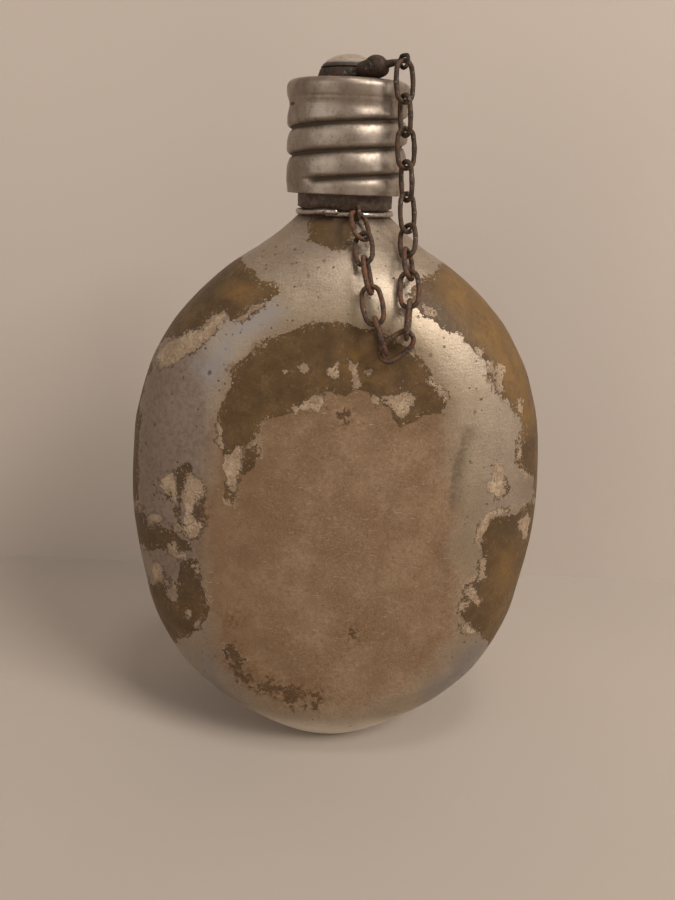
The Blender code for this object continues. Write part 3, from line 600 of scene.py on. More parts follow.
def flask_rows(angles):
    """The flask's skin from the middle of its foot up to the lip and down again inside."""
    foot = body_ring(angles, 0.0)
    rows = [foot * share for share in FOOT_SHARES]
    rows += [body_ring(angles, height) for height in body_heights()]
    slope = (NECK_RADIUS - GROOVE_ROOT) / 2
    outline = [(GROOVE_ROOT, SHOULDER_HEIGHT + slope), (GROOVE_ROOT, GROOVE_TOP - slope)]
    outline += [(NECK_RADIUS, GROOVE_TOP), (NECK_RADIUS, (GROOVE_TOP + THREAD_LOW) / 2)]
    thread_top = LIP_HEIGHT - LIP_ROUND
    for high in np.linspace(THREAD_LOW, thread_top, THREAD_ROWS):
        outline.append((neck_radius(angles, high), high))
    for turn in np.radians(LIP_TURNS):
        middle = THREAD_ROOT - LIP_ROUND if turn <= math.pi / 2 else NECK_BORE + LIP_ROUND
        outline.append((middle + LIP_ROUND * math.cos(turn), thread_top + LIP_ROUND * math.sin(turn)))
    outline += [(NECK_BORE, high) for high in np.linspace(thread_top, GROOVE_TOP + WALL, BORE_ROWS)]
    outline += [(GROOVE_ROOT - WALL, GROOVE_TOP), (GROOVE_ROOT - WALL, SHOULDER_HEIGHT + slope)]
    outline.append((NECK_BORE, SHOULDER_HEIGHT - WALL / 2))
    rows += [circle(angles, radius, height) for radius, height in outline]
    for height in np.linspace(SHOULDER_HEIGHT - 4 * WALL, 3 * WALL, INSIDE_ROWS):
        rows.append(body_ring(angles, height, WALL))
    rows.append(circle(angles, FOOT_RADIUS - WALL, WALL))
    return np.array(rows)


def grid_normals(grid):
    """Outward directions of a skin made of closed rows."""
    along = np.roll(grid, -1, axis=1) - np.roll(grid, 1, axis=1)
    normal = np.cross(along, np.gradient(grid, axis=0))
    return normal / np.maximum(np.linalg.norm(normal, axis=2, keepdims=True), TINY)


def wobble(points, size, seed):
    """Smooth random values, from about -1 to 1, that change over a size in millimetres."""
    shift = Vector((seed, 2 * seed, 3 * seed))
    values = [noise.noise(Vector(point) + shift) for point in points.reshape(-1, 3) / size]
    return np.array(values).reshape(points.shape[:-1])


def uneven(points, layers, seed=0):
    """Wobbles of several heights and sizes together."""
    return sum(height * wobble(points, size, seed + own) for height, size, own in layers)


def from_edges(across, down, outline, closed):
    """Distance from points to the nearest edge of an outline or a bent line."""
    corners = np.array(outline, dtype=float)
    ends = np.roll(corners, -1, axis=0) if closed else corners[1:]
    best = np.full(across.shape, np.inf)
    for start, end in zip(corners, ends):
        edge = end - start
        share = ((across - start[0]) * edge[0] + (down - start[1]) * edge[1]) / (edge @ edge)
        share = np.clip(share, 0, 1)
        gap = np.hypot(across - start[0] - share * edge[0], down - start[1] - share * edge[1])
        best = np.minimum(best, gap)
    return best


def inside(across, down, outline):
    """True for points inside a closed outline."""
    corners = np.array(outline, dtype=float)
    within = np.zeros(across.shape, dtype=bool)
    for start, end in zip(corners, np.roll(corners, -1, axis=0)):
        spans = (start[1] > down) != (end[1] > down)
        rise = end[1] - start[1] if end[1] != start[1] else 1.0
        crossing = start[0] + (down - start[1]) * (end[0] - start[0]) / rise
        within ^= spans & (across < crossing)
    return within


def depth_in(across, down, outlines):
    """How deep points lie in the nearest of several patches; below 0 outside them."""
    best = np.full(across.shape, FAR_OUTSIDE)
    for outline in outlines:
        gap = from_edges(across, down, outline, closed=True)
        best = np.maximum(best, np.where(inside(across, down, outline), gap, -gap))
    return best


def patch_ground(grid, normals):
    """The front's share of the skin, and where the skin lies in the photograph and seen from behind."""
    seen = np.array(CAMERA_AT) - grid
    facing = np.sum(seen * normals, axis=2) / np.linalg.norm(seen, axis=2)
    share = smooth_step((facing + TURN_AWAY) / TURN_AWAY)
    (sway, heave), (broad_sway, broad_heave) = (
        [wobble(grid, size, seed) for seed in seeds] for size, seeds in SWAYS)
    across, down = to_photo(grid)
    front = across + FRONT_SWAY * sway, down + FRONT_SWAY * heave
    across = BACK_SWAY * (sway + broad_sway) - grid[..., 0]
    back = across, BACK_SWAY * (heave + broad_heave) + grid[..., 2]
    return share, front, back


def dent_depth(grid):
    """How deep the dents press into the front."""
    across, down = to_photo(grid)
    depth = np.zeros(across.shape)
    for line, half_width, deepest in DENTS:
        depth += deepest * hill(from_edges(across, down, line, closed=False), half_width)
    return depth * (grid[..., 1] < 0)


def place_object(name, data):
    """A new object in the scene."""
    made = bpy.data.objects.new(name, data)
    bpy.context.scene.collection.objects.link(made)
    return made


def point_numbers(grid):
    """The numbers of a skin's points, row by row."""
    return np.arange(grid[..., 0].size).reshape(grid.shape[:2])


def row_faces(place):
    """Faces between rows of point numbers, each row closed on itself."""
    after = np.roll(place, -1, axis=1)
    return np.stack([place[:-1], after[:-1], after[1:], place[1:]], axis=-1).reshape(-1, 4).tolist()


def smooth_object(name, grid, faces):
    """A smooth mesh from points in millimetres and faces."""
    mesh = bpy.data.meshes.new(name)
    mesh.from_pydata((grid.reshape(-1, 3) * MM).tolist(), [], faces)
    mesh.shade_smooth()
    return place_object(name, mesh)


def skin_object(name, grid, fields=None, ends=True):
    """A smooth mesh of closed rows in millimetres, with named values at its points."""
    place = point_numbers(grid)
    faces = row_faces(place)
    if ends:
        faces += [place[0][::-1].tolist(), place[-1].tolist()]
    made = smooth_object(name, grid, faces)
    for field, values in (fields or {}).items():
        layer = made.data.attributes.new(field, "FLOAT", "POINT")
        layer.data.foreach_set("value", np.ascontiguousarray(values, dtype=np.float32).ravel())
    return made


def flask_shell():
    """The flask: dented body, neck with its thread, and the values that its worn paint follows."""
    grid = flask_rows(column_angles())
    last = len(FOOT_SHARES) + BODY_ROWS
    body = grid[:last]
    height = body[..., 2]
    hold = smooth_step((height - STILL_FOOT[0]) / STILL_FOOT[1])
    hold *= smooth_step((SHOULDER_HEIGHT - STILL_SHOULDER[0] - height) / STILL_SHOULDER[1])
    push = uneven(body, BODY_UNEVEN) - dent_depth(body)
    grid[:last] += grid_normals(grid)[:last] * (push * hold)[..., None]
    share, front_place, back_place = patch_ground(body, grid_normals(grid)[:last])

    def with_neck(values, above):
        """The body's values, with one value for the rows of the neck and the inside."""
        return np.concatenate([values, np.full(grid[last:, :, 0].shape, above)])

    fields = {}
    for field, (front, back) in PATCHES.items():
        depth = share * (depth_in(*front_place, front) * PIXEL) + (1 - share) * depth_in(*back_place, back)
        fields[field] = with_neck(depth, NO_PATCH)
    # Painted shade in the dents, deepest in the first.
    fields["smear"] = with_neck(np.clip(dent_depth(body) / DENTS[0][2], 0, 1) ** 2, 0.0)
    # Painted bounce light from the floor, strongest at the foot.
    fields["foot"] = with_neck(smooth_step((FOOT_LIGHT_END[0] - height) / FOOT_LIGHT_END[1]), 0.0)
    fields["neck"] = with_neck(smooth_step((height - SHOULDER_HEIGHT + NECK_DARKENING[0]) / NECK_DARKENING[1]), 1.0)
    return skin_object("flask_shell", grid, fields)


def cap_wall_radius(angles, height, inner=0.0):
    """Radius of the cap's wall, outside or inside."""
    up = height - CAP_LOW
    bare = CAP_SKIRT + (CAP_RIDGE - CAP_SKIRT) * smooth_step(up / GROOVE_RISE)
    rise = (up - (CAP_HIGH - CAP_LOW) + CAP_ROUND + GROOVE_RISE) / GROOVE_RISE
    bare += (CAP_BAND - CAP_RIDGE) * smooth_step(rise)
    bare -= WAIST_DEPTH * hill(height - WAIST_HEIGHT, WAIST_SPREAD)
    bare -= LINE_DEPTH * hill(height - LINE_HEIGHT, LINE_SPREAD)
    return bare - inner - GROOVE_DEPTH * groove_share(angles, height)


def cap_stations(angles):
    """Radius, height and darkness of the cap's rows, from dirt and painted shade: down its inside, round its
    rim, and up to its top.
    """
    heights = np.linspace(CAP_LOW + CAP_RIM, CAP_HIGH - CAP_ROUND, CAP_ROWS)
    for high in heights[::-1]:
        yield cap_wall_radius(angles, high, CAP_WALL), high, groove_share(angles, high)
    for share in RIM_SHARES:
        yield CAP_SKIRT - CAP_WALL * (1 - share), CAP_LOW, RIM_SHADE
    for high in heights:
        yield cap_wall_radius(angles, high), high, groove_share(angles, high)
    middle = CAP_BAND - CAP_ROUND
    for turn in np.radians(CAP_TURNS):
        yield middle + CAP_ROUND * math.cos(turn), CAP_HIGH - CAP_ROUND + CAP_ROUND * math.sin(turn), 0.0
    hole = RIVET_SHANK + PLAY
    for radius in (*CAP_TOP_RADII, hole):
        yield radius, CAP_HIGH, smooth_step((TOP_DARKENING[0] - radius) / TOP_DARKENING[1])
    top = CAP_HIGH - CAP_WALL
    for radius in (hole, CAP_TOP_RADII[-1], middle):
        yield radius, top, INSIDE_DARKENING
    yield middle + INNER_CORNER[0], top - INNER_CORNER[1], INSIDE_DARKENING


def cap_shell():
    """The pressed cap with its rolled groove, round shoulder and open underside."""
    angles = even_turns(CAP_COLUMNS)
    stations = list(cap_stations(angles))
    grid = np.array([circle(angles, radius, high) for radius, high, _ in stations])
    dirt = np.array([np.broadcast_to(share, angles.shape) for _, _, share in stations])
    outside = np.arange(len(grid))[:, None] > CAP_ROWS + len(RIM_SHARES)
    nick = hill(angles - NICK_ANGLE, NICK_SPREAD[0]) * hill(grid[..., 2] - NICK_HEIGHT, NICK_SPREAD[1])
    push = uneven(grid, CAP_UNEVEN) - NICK_DEPTH * nick
    # The nick is darkened like the groove.
    dirt = np.maximum(dirt, nick * outside)
    grid += grid_normals(grid) * (push * outside)[..., None]
    grid = np.concatenate([grid, grid[:1]])
    dirt = np.concatenate([dirt, dirt[:1]])
    return skin_object("cap_shell", grid, {"groove": dirt}, ends=False)


def turned_rows(outline):
    """Rows of a piece turned on the Z axis, from radius and height pairs."""
    angles = even_turns(TURNED_STEPS)
    return np.array([circle(angles, radius, height) for radius, height in outline])


def rounded(corners, radius):
    """A closed outline of radius and height pairs with its corners rounded."""
    points = [Vector(corner) for corner in corners]
    count = len(points)
    made = []
    for place in range(count):
        here = points[place]
        before = points[place - 1] - here
        after = points[(place + 1) % count] - here
        reach = min(radius, before.length / CORNER_PART, after.length / CORNER_PART)
        start = here + before.normalized() * reach
        end = here + after.normalized() * reach
        for step in range(CORNER_STEPS + 1):
            t = step / CORNER_STEPS
            made.append((1 - t) ** 2 * start + 2 * t * (1 - t) * here + t**2 * end)
    made.append(made[0])
    return [(point.x, point.y) for point in made]


def drilled_disc(name, radius, top, thickness, edge):
    """A flat disc round the rivet's shank, with rounded edges."""
    hole = RIVET_SHANK + PLAY
    low = top - thickness
    corners = ((hole, low), (radius, low), (radius, top), (hole, top))
    return skin_object(name, turned_rows(rounded(corners, edge)), ends=False)


def dome_radius(height):
    """Radius of the one rounded outline that the rivet's head and the swivel's plate share."""
    share = (height - CAP_HIGH) / (RIVET_TOP - CAP_HIGH)
    return RIVET_HEAD_RADIUS * math.sqrt(max(1 - share**DOME_POWER, 0))


def rivet_piece():
    """The rivet: a worn flat dome above the swivel, its shank, and a small head under the washer."""
    tail_top = WASHER_TOP - WASHER_THICKNESS - PLAY
    tail_low = tail_top - RIVET_TAIL
    outline = [(TIP_RADIUS, tail_low), (RIVET_TAIL_RADIUS - RIVET_TAIL_ROUND, tail_low)]
    outline += [(RIVET_TAIL_RADIUS, tail_top - RIVET_TAIL / 2), (RIVET_TAIL_RADIUS, tail_top)]
    outline += [(RIVET_SHANK, tail_top), (RIVET_SHANK, RIVET_HEAD_LOW)]
    outline += [(dome_radius(RIVET_HEAD_LOW) - PLAY, RIVET_HEAD_LOW)]
    for share in np.linspace(RIVET_FIRST_ROW, 1, RIVET_ROWS):
        high = RIVET_HEAD_LOW + (RIVET_TOP - RIVET_HEAD_LOW) * math.sin(share * math.pi / 2)
        outline.append((max(dome_radius(high), TIP_RADIUS), high))
    grid = turned_rows(outline)
    crown = smooth_step((grid[..., 2] - RIVET_HEAD_LOW - RIVET_CROWN[0]) / RIVET_CROWN[1])
    grid[..., 2] -= RIVET_WORN[0] * crown * (1 + wobble(grid, *RIVET_WORN[1:]))
    # Painted light on the crown and painted shade below it, with rubbing.
    lit_crown_share = smooth_step((grid[..., 2] - RIVET_HEAD_LOW - RIVET_LIT_RISE[0]) / RIVET_LIT_RISE[1])
    return skin_object("rivet_piece", grid, {"lit_crown": lit_crown_share})


def spoke(angle):
    """The level direction away from the axis at an angle."""
    return Vector((math.cos(angle), math.sin(angle), 0))


def station(angle, radius, height):
    """The point at an angle, a distance from the axis and a height."""
    return radius * spoke(angle) + Vector((0, 0, height))


def wire_rows(path, radius, closed, seed):
    """Rows round a hand-bent wire along a path in millimetres, a little uneven."""
    count = len(path)
    turns = even_turns(WIRE_SIDES)
    rows = []
    side = None
    for place in range(count):
        if closed:
            along = (path[(place + 1) % count] - path[place - 1]).normalized()
        else:
            along = (path[min(place + 1, count - 1)] - path[max(place - 1, 0)]).normalized()
        if side is None:
            side = along.orthogonal().normalized()
        side = (side - side.dot(along) * along).normalized()
        other = along.cross(side)
        ring = [path[place] + radius * (math.cos(turn) * side + math.sin(turn) * other) for turn in turns]
        rows.append([tuple(point) for point in ring])
    grid = np.array(rows)
    middle = grid.mean(axis=1, keepdims=True)
    return middle + (grid - middle) * (1 + uneven(grid, WIRE_UNEVEN, seed))[..., None]


def wire_object(name, path, radius, closed, seed):
    """A bent wire as one mesh. A closed wire joins its last row to its first."""
    grid = wire_rows(path, radius, closed, seed)
    if closed:
        place = point_numbers(grid)
        nearest = np.argmin(np.linalg.norm(grid[0] - grid[-1][0], axis=1))
        joined = np.concatenate([place, [np.roll(place[0], -nearest)]])
        return smooth_object(name, grid, row_faces(joined))
    for end, inward in ((0, 1), (-1, -2)):
        middle = grid[end].mean(axis=0)
        out = middle - grid[inward].mean(axis=0)
        tip = middle + (grid[end] - middle) * TIP_NARROWS + out / np.linalg.norm(out) * radius * TIP_REACH
        grid = np.concatenate([[tip], grid]) if end == 0 else np.concatenate([grid, [tip]])
    return skin_object(name, grid)


def eye_path(centre, facing):
    """Centre line of a small wire eye whose hole looks along the facing direction."""
    side = facing.cross(Vector((0, 0, 1))).normalized()
    rise = side.cross(facing).normalized()
    turns = even_turns(EYE_STEPS)
    return [centre + EYE_RADIUS * (math.cos(turn) * side + math.sin(turn) * rise) for turn in turns]


def neck_wire():
    """The bright wire round the neck, whose left end laps over its right one beside the chain."""
    path = []
    for step in range(RING_STEPS + 1):
        share = step / RING_STEPS
        angle = RING_ENDS[0] + (RING_ENDS[1] - RING_ENDS[0]) * share
        lap = float(smooth_step((share - LAP_START) / LAP_RUN))
        path.append(station(angle, RING_RADIUS + LAP_OUT * lap, RING_HEIGHT - LAP_DROP + LAP_RISE * lap))
    return wire_object("neck_wire", path, RING_WIRE, False, NECK_WIRE_SEED)


def neck_eye():
    """The dark wire eye that hangs the chain on the neck wire."""
    centre = station(RING_EYE_ANGLE, RING_RADIUS + RING_EYE_REACH, RING_HEIGHT + RING_EYE_RISE)
    path = eye_path(centre, spoke(RING_EYE_ANGLE + math.pi / 2))
    return wire_object("neck_eye", path, EYE_WIRE, True, NECK_EYE_SEED)


def taken_mesh(made):
    """The mesh of an object, which is removed."""
    mesh = made.data
    bpy.data.objects.remove(made)
    return mesh


def shape_mesh(create, **settings):
    """A mesh from one bmesh shape in millimetres."""
    bm = bmesh.new()
    create(bm, **settings)
    bmesh.ops.scale(bm, vec=(MM, MM, MM), verts=bm.verts)
    mesh = bpy.data.meshes.new("shape")
    bm.to_mesh(mesh)
    bm.free()
    return mesh


def rod(start, end, radii):
    """A round bar between two points, straight or tapered."""
    along = end - start
    place = Matrix.Translation((start + end) / 2) @ along.to_track_quat("Z", "Y").to_matrix().to_4x4()
    return shape_mesh(bmesh.ops.create_cone, cap_ends=True, segments=ROD_SIDES, radius1=radii[0],
                      radius2=radii[1], depth=along.length, matrix=place)


def lump(centre, heading, size):
    """An egg-shaped lump turned round the upright axis."""
    place = Matrix.Translation(centre) @ Matrix.Rotation(heading, 4, "Z")
    place = place @ Matrix.Diagonal((size[0] / 2, size[1] / 2, size[2] / 2, 1))
    return shape_mesh(bmesh.ops.create_uvsphere, u_segments=LUMP_STEPS[0], v_segments=LUMP_STEPS[1],
                      radius=1, matrix=place)


def fused(name, shapes):
    """One lumpy body from overlapping shapes, as if forged."""
    bm = bmesh.new()
    for shape in shapes:
        bm.from_mesh(shape)
        bpy.data.meshes.remove(shape)
    mesh = bpy.data.meshes.new(name)
    bm.to_mesh(mesh)
    bm.free()
    rough = place_object(name + "_rough", mesh)
    remesh = rough.modifiers.new("fuse", "REMESH")
    remesh.mode = "VOXEL"
    remesh.voxel_size = LUG_VOXEL * MM
    smooth = rough.modifiers.new("soften", "SMOOTH")
    smooth.iterations, smooth.factor = LUG_SMOOTHING
    shaped = rough.evaluated_get(bpy.context.evaluated_depsgraph_get())
    fused_mesh = bpy.data.meshes.new_from_object(shaped)
    bpy.data.objects.remove(rough)
    fused_mesh.name = name
    fused_mesh.shade_smooth()
    return place_object(name, fused_mesh)


def swivel_piece():
    """The dark swivel: a plate under the rivet's head, and a forged lug, arm and eye beside it."""
    low = CAP_HIGH + PLAY
    top = low + SWIVEL_THICKNESS
    hole = RIVET_SHANK + PLAY
    wide = dome_radius(low)
    corners = ((hole, low), (wide - PLATE_BEVEL[0], low), (wide, low + PLATE_BEVEL[1]),
               (dome_radius(top), top), (hole, top))
    plate = skin_object("plate_shape", turned_rows(rounded(corners, SWIVEL_EDGE)), ends=False)
    lug = station(LUG_ANGLE, RIVET_HEAD_RADIUS + PLAY + LUG_LENGTH / 2, low + LUG_HEIGHT / 2)
    eye = station(EYE_ANGLE, CAP_BAND + LINK_WIDTH / 2, low + EYE_RISE)
    toward = (eye - lug).normalized()
    heading = math.atan2(toward.y, toward.x)
    shapes = [taken_mesh(plate)]
    shapes += [lump(lug + Vector(shift), heading + turn, size) for shift, turn, size in LUG_LUMPS]
    root = station(LUG_ANGLE, SWIVEL_RADIUS - TONGUE_RADIUS, (low + top) / 2)
    tip = station(LUG_ANGLE, lug.to_2d().length, (low + top) / 2)
    shapes += [rod(root, tip, (TONGUE_RADIUS, TONGUE_RADIUS)), rod(lug, eye - toward * EYE_RADIUS, ARM_RADII)]
    path = eye_path(eye, spoke(EYE_ANGLE + math.pi / 2 + EYE_TWIST))
    squat = [Vector((point.x, point.y, min(point.z, eye.z + EYE_SQUAT))) for point in path]
    shapes.append(taken_mesh(wire_object("eye_shape", squat, EYE_WIRE, True, SWIVEL_EYE_SEED)))
    return fused("swivel_piece", shapes)


def link_frame(node):
    """Centre and long and wide directions of a chain link, from its CAD solid."""
    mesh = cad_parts[node].data
    points = np.array([tuple(vert.co) for vert in mesh.vertices]) / MM
    points = np.unique(points.round(4), axis=0)
    centre = points.mean(axis=0)
    axes = np.linalg.eigh(np.cov((points - centre).T))[1]
    return Vector(centre), Vector(axes[:, 2]), Vector(axes[:, 1])


def link_path(centre, long, wide):
    """Centre line of a link: two half circles joined by almost straight sides."""
    end = LINK_WIDTH / 2 - LINK_WIRE
    half = LINK_LENGTH / 2 - LINK_WIRE - end
    path = []
    for sign, start in ((1, 0.0), (-1, math.pi)):
        for step in range(LINK_BEND_STEPS + 1):
            turn = start + math.pi * step / LINK_BEND_STEPS
            path.append(centre + long * (sign * half + end * math.sin(turn)) + wide * (end * math.cos(turn)))
        from_here = path[-1]
        to_there = centre + long * (-sign * half) + wide * (-sign * end)
        for step in range(1, LINK_SIDE_STEPS):
            share = step / LINK_SIDE_STEPS
            bow = wide * (-sign * LINK_BOW * math.sin(math.pi * share))
            path.append(from_here.lerp(to_there, share) + bow)
    return path


def chain_link(number):
    """One rusty link over its CAD solid, with a weld lump in one side."""
    centre, long, wide = link_frame(f"chain_link_{number:02d}")
    seed = LINK_SEEDS[0] + LINK_SEEDS[1] * number
    made = wire_object(f"link_wire_{number:02d}", link_path(centre, long, wide), LINK_SKIN, True, seed)
    weld = centre + wide * (LINK_WIDTH / 2 - LINK_WIRE) * (1 if number % 2 else -1)
    for vert in made.data.vertices:
        away = vert.co / MM - weld
        if away.length < WELD_REACH:
            swell = WELD_SWELL * float(hill(away.length, WELD_SPREAD))
            vert.co += away.normalized() * swell * MM
    return made


# Colours, linear: bare metal.
BARE_DARK = (0.345, 0.275, 0.205)
BARE_LIGHT = (0.50, 0.415, 0.32)
FOOT_BOUNCE_LIGHT = (0.80, 0.72, 0.61)
BARE_BRUSHED = (0.25, 0.20, 0.155)
BARE_GRAIN = (0.19, 0.145, 0.105)
BARE_SPECK = (0.62, 0.55, 0.47)
STAIN = (0.20, 0.145, 0.10)
PIT = (0.075, 0.05, 0.034)
HAZE_AND_SHEEN = (0.275, 0.252, 0.243)
FRINGE = (0.37, 0.285, 0.17)
DUST_AND_SHADE_LIGHT = (0.19, 0.135, 0.105)
DUST_AND_SHADE_DARK = (0.135, 0.088, 0.066)

# Primer film, cream undercoat, olive paint and dirt.
FILM_DARK = (0.182, 0.106, 0.053)
FILM_LIGHT = (0.246, 0.156, 0.088)
FILM_BROWN = (0.148, 0.082, 0.040)
FILM_SPECK = (0.36, 0.26, 0.17)
FILM_PIT = (0.075, 0.04, 0.022)
FILM_NICK = (0.48, 0.38, 0.28)
FILM_RUST = (0.12, 0.055, 0.018)
CREAM_LIGHT = (0.41, 0.30, 0.195)
CREAM_DARK = (0.23, 0.15, 0.09)
OLIVE_DARK = (0.060, 0.031, 0.0085)
OLIVE_LIGHT = (0.112, 0.060, 0.019)
OLIVE_STAIN = (0.042, 0.023, 0.009)
OLIVE_SPECK = (0.23, 0.15, 0.07)
OCHRE = (0.158, 0.083, 0.021)
FLECK = (0.060, 0.034, 0.015)
OUTLINE = (0.070, 0.042, 0.021)
NECK_DARK = (0.046, 0.026, 0.017)
NECK_BROWN = (0.092, 0.053, 0.032)

# Cap, rivet, bright wire, rubber and washer.
CAP_LIGHT = (0.36, 0.307, 0.256)
CAP_DULL = (0.232, 0.189, 0.151)
CAP_LINE = (0.22, 0.175, 0.14)
CAP_STAIN = (0.17, 0.13, 0.10)
CAP_DIRT_AND_SHADE = (0.058, 0.038, 0.022)
RIVET_TARNISH_AND_SHADE = (0.034, 0.022, 0.015)
RIVET_RUBBED_AND_LIT = (0.60, 0.535, 0.465)
RIVET_STAIN = (0.16, 0.12, 0.095)
WIRE_LIGHT = (0.42, 0.37, 0.315)
WIRE_DULL = (0.29, 0.245, 0.20)
WIRE_DIRT = (0.07, 0.043, 0.028)
RUBBER_DARK = (0.035, 0.024, 0.019)
RUBBER_BROWN = (0.085, 0.06, 0.045)
RUBBER_DUST = (0.16, 0.125, 0.10)
WASHER_LIGHT = (0.55, 0.50, 0.46)
WASHER_DULL = (0.30, 0.26, 0.22)
WASHER_LINE = (0.72, 0.68, 0.64)

# Irons: their dark and their rusty tone, and how coarse their rust is. Scale is darker than the first
# tone, and fresh rust brighter than the second.
DARK_IRON = ((0.022, 0.0145, 0.010), (0.046, 0.026, 0.016), 1.3)
BROWN_IRON = ((0.041, 0.028, 0.017), (0.088, 0.046, 0.025), 1.0)
RUSTY_IRON = ((0.046, 0.029, 0.018), (0.130, 0.056, 0.028), 1.0)
RUBBED_IRON = (0.26, 0.21, 0.17)
SCALE_SHADE = 0.3
RUST_SHINE = 1.5

# How strongly a surface that isn't metal mirrors; 0.5 is Blender's own value.
PLAIN_GLOSS = 0.5
PAINT_GLOSS = 0.35
IRON_GLOSS = 0.3


class Nodes:
    """A node tree of a material or the world, with short calls that make its nodes."""

    def __init__(self, owner):
        owner.use_nodes = True
        self.owner = owner
        self.tree = owner.node_tree

    def set(self, socket, value):
        """Link a socket to an input, or write a plain value into it."""
        if isinstance(value, bpy.types.NodeSocket):
            self.tree.links.new(value, socket)
        elif isinstance(value, tuple) and len(value) == 3 and socket.type == "RGBA":
            socket.default_value = (*value, 1.0)
        else:
            socket.default_value = value

    def feed(self, made, inputs):
        """Set a node's inputs, which are named or numbered, and return its outputs."""
        for name, value in inputs.items():
            self.set(made.inputs[name], value)
        return made.outputs

    def node(self, kind, inputs=None, **settings):
        """The outputs of a new node."""
        made = self.tree.nodes.new(kind)
        for key, value in settings.items():
            setattr(made, key, value)
        return self.feed(made, inputs or {})

    def choose(self, output, share, a, b):
        """Send shader a to an output node, and shader b where the share is 1."""
        choice = self.node("ShaderNodeMixShader", {0: share, 1: a, 2: b})
        self.feed(self.tree.nodes[output], {"Surface": choice[0]})

    def maths(self, operation, a, b=0.0):
        """One calculation."""
        return self.node("ShaderNodeMath", {0: a, 1: b}, operation=operation)[0]

    def times(self, value, *others):
        """Product of sockets and numbers."""
        for other in others:
            value = self.maths("MULTIPLY", value, other)
        return value

    def most(self, value, *others):
        """The largest of several values."""
        for other in others:
            value = self.maths("MAXIMUM", value, other)
        return value

    def less(self, a, b):
        """The first value less the second."""
        return self.maths("SUBTRACT", a, b)

    def sum(self, *terms):
        """Sum of sockets and numbers, or of (socket, factor) pairs."""
        total = None
        for term in terms:
            value = self.times(*term) if isinstance(term, tuple) else term
            total = value if total is None else self.maths("ADD", total, value)
        return total


class Surface(Nodes):
    """A material, with short calls for patterns in millimetres and for mixing tones."""

    def __init__(self, name):
        super().__init__(bpy.data.materials.new(name))
        self.shader = self.tree.nodes["Principled BSDF"]
        self.point = self.place((1, 1, 1))

    def place(self, size):
        """Object coordinates, counted in sizes in millimetres."""
        per_size = tuple(1 / (MM * part) for part in size)
        coordinates = self.node("ShaderNodeTexCoord")["Object"]
        return self.node("ShaderNodeVectorMath", {0: coordinates, 1: per_size}, operation="MULTIPLY")[0]

    def across(self):
        """How far a place lies to the right of the middle, in millimetres."""
        return self.node("ShaderNodeSeparateXYZ", {0: self.point})[0]

    def field(self, name):
        """A value that the mesh holds at its points."""
        return self.node("ShaderNodeAttribute", attribute_name=name)["Fac"]

    def noise(self, size, detail, rough=0.5):
        """Smooth random values about 0.5, of one size in millimetres or one along each axis."""
        even = not isinstance(size, tuple)
        place, scale = (self.point, 1 / size) if even else (self.place(size), 1.0)
        inputs = {"Vector": place, "Scale": scale, "Detail": detail, "Roughness": rough}
        return self.node("ShaderNodeTexNoise", inputs)["Fac"]

    def cells(self, size, **settings):
        """Random cells of a size in millimetres."""
        return self.node("ShaderNodeTexVoronoi", {"Vector": self.point, "Scale": 1 / size}, **settings)

    def fade(self, value, low, high, first=0.0, last=1.0):
        """Ease from the first to the last value as the input goes from low to high."""
        inputs = {"Value": value, "From Min": low, "From Max": high, "To Min": first, "To Max": last}
        return self.node("ShaderNodeMapRange", inputs, interpolation_type="SMOOTHSTEP")["Result"]

    def mix(self, share, a, b):
        """Colour a where the share is 0 and colour b where it is 1."""
        return self.node("ShaderNodeMix", {"Factor": share, 6: a, 7: b}, data_type="RGBA")[2]

    def blend(self, share, a, b):
        """Number a where the share is 0 and number b where it is 1."""
        return self.node("ShaderNodeMix", {"Factor": share, 2: a, 3: b}, data_type="FLOAT")[0]

    def over(self, colour, *layers):
        """Tones laid over a colour; each comes after its share, or after what a fade needs for it."""
        for *share, tone in layers:
            colour = self.mix(share[0] if len(share) == 1 else self.fade(*share), colour, tone)
        return colour

    def finish(self, colour, roughness, metallic, relief, gloss=PLAIN_GLOSS):
        """Join the results to the shader, and return the material; relief is a height in millimetres."""
        bump = self.node("ShaderNodeBump", {"Strength": 1.0, "Distance": MM, "Height": relief})[0]
        self.feed(self.shader, {"Base Color": colour, "Roughness": roughness, "Metallic": metallic,
                                "Specular IOR Level": gloss, "Normal": bump})
        return self.owner


def shaded(colour, factor):
    """A darker or brighter tone of a colour."""
    return tuple(factor * part for part in colour)


def pits(s, size, edge, bounds, crowd, often):
    """Dark soft-edged pits of uneven size, more of them in some places than in others."""
    cells = s.cells(size)
    chance = s.node("ShaderNodeSeparateColor", {0: cells["Color"]})[0]
    gap = s.sum(cells["Distance"], edge, -edge[1] / 2)
    return s.times(s.fade(gap, *bounds, 1.0, 0.0), s.fade(s.sum(chance, crowd), *often))


def skin_noises(s):
    """Random values for the flask's skin, from broad clouds to fine grit, and level scratches."""
    return SimpleNamespace(
        broad=s.noise(30, 2),
        cloud=s.noise(11, 3, 0.55),
        mottle=s.noise(5.5, 4, 0.6),
        blotch=s.noise(2.4, 5, 0.72),
        crumble=s.noise(1.5, 5, 0.7),
        worn=s.noise(0.8, 4, 0.75),
        grit=s.noise(0.5, 3, 0.7),
        brushed=s.noise((8, 8, 0.2), 3, 0.65),
        scratch=s.noise((2.6, 2.6, 0.14), 1),
    )


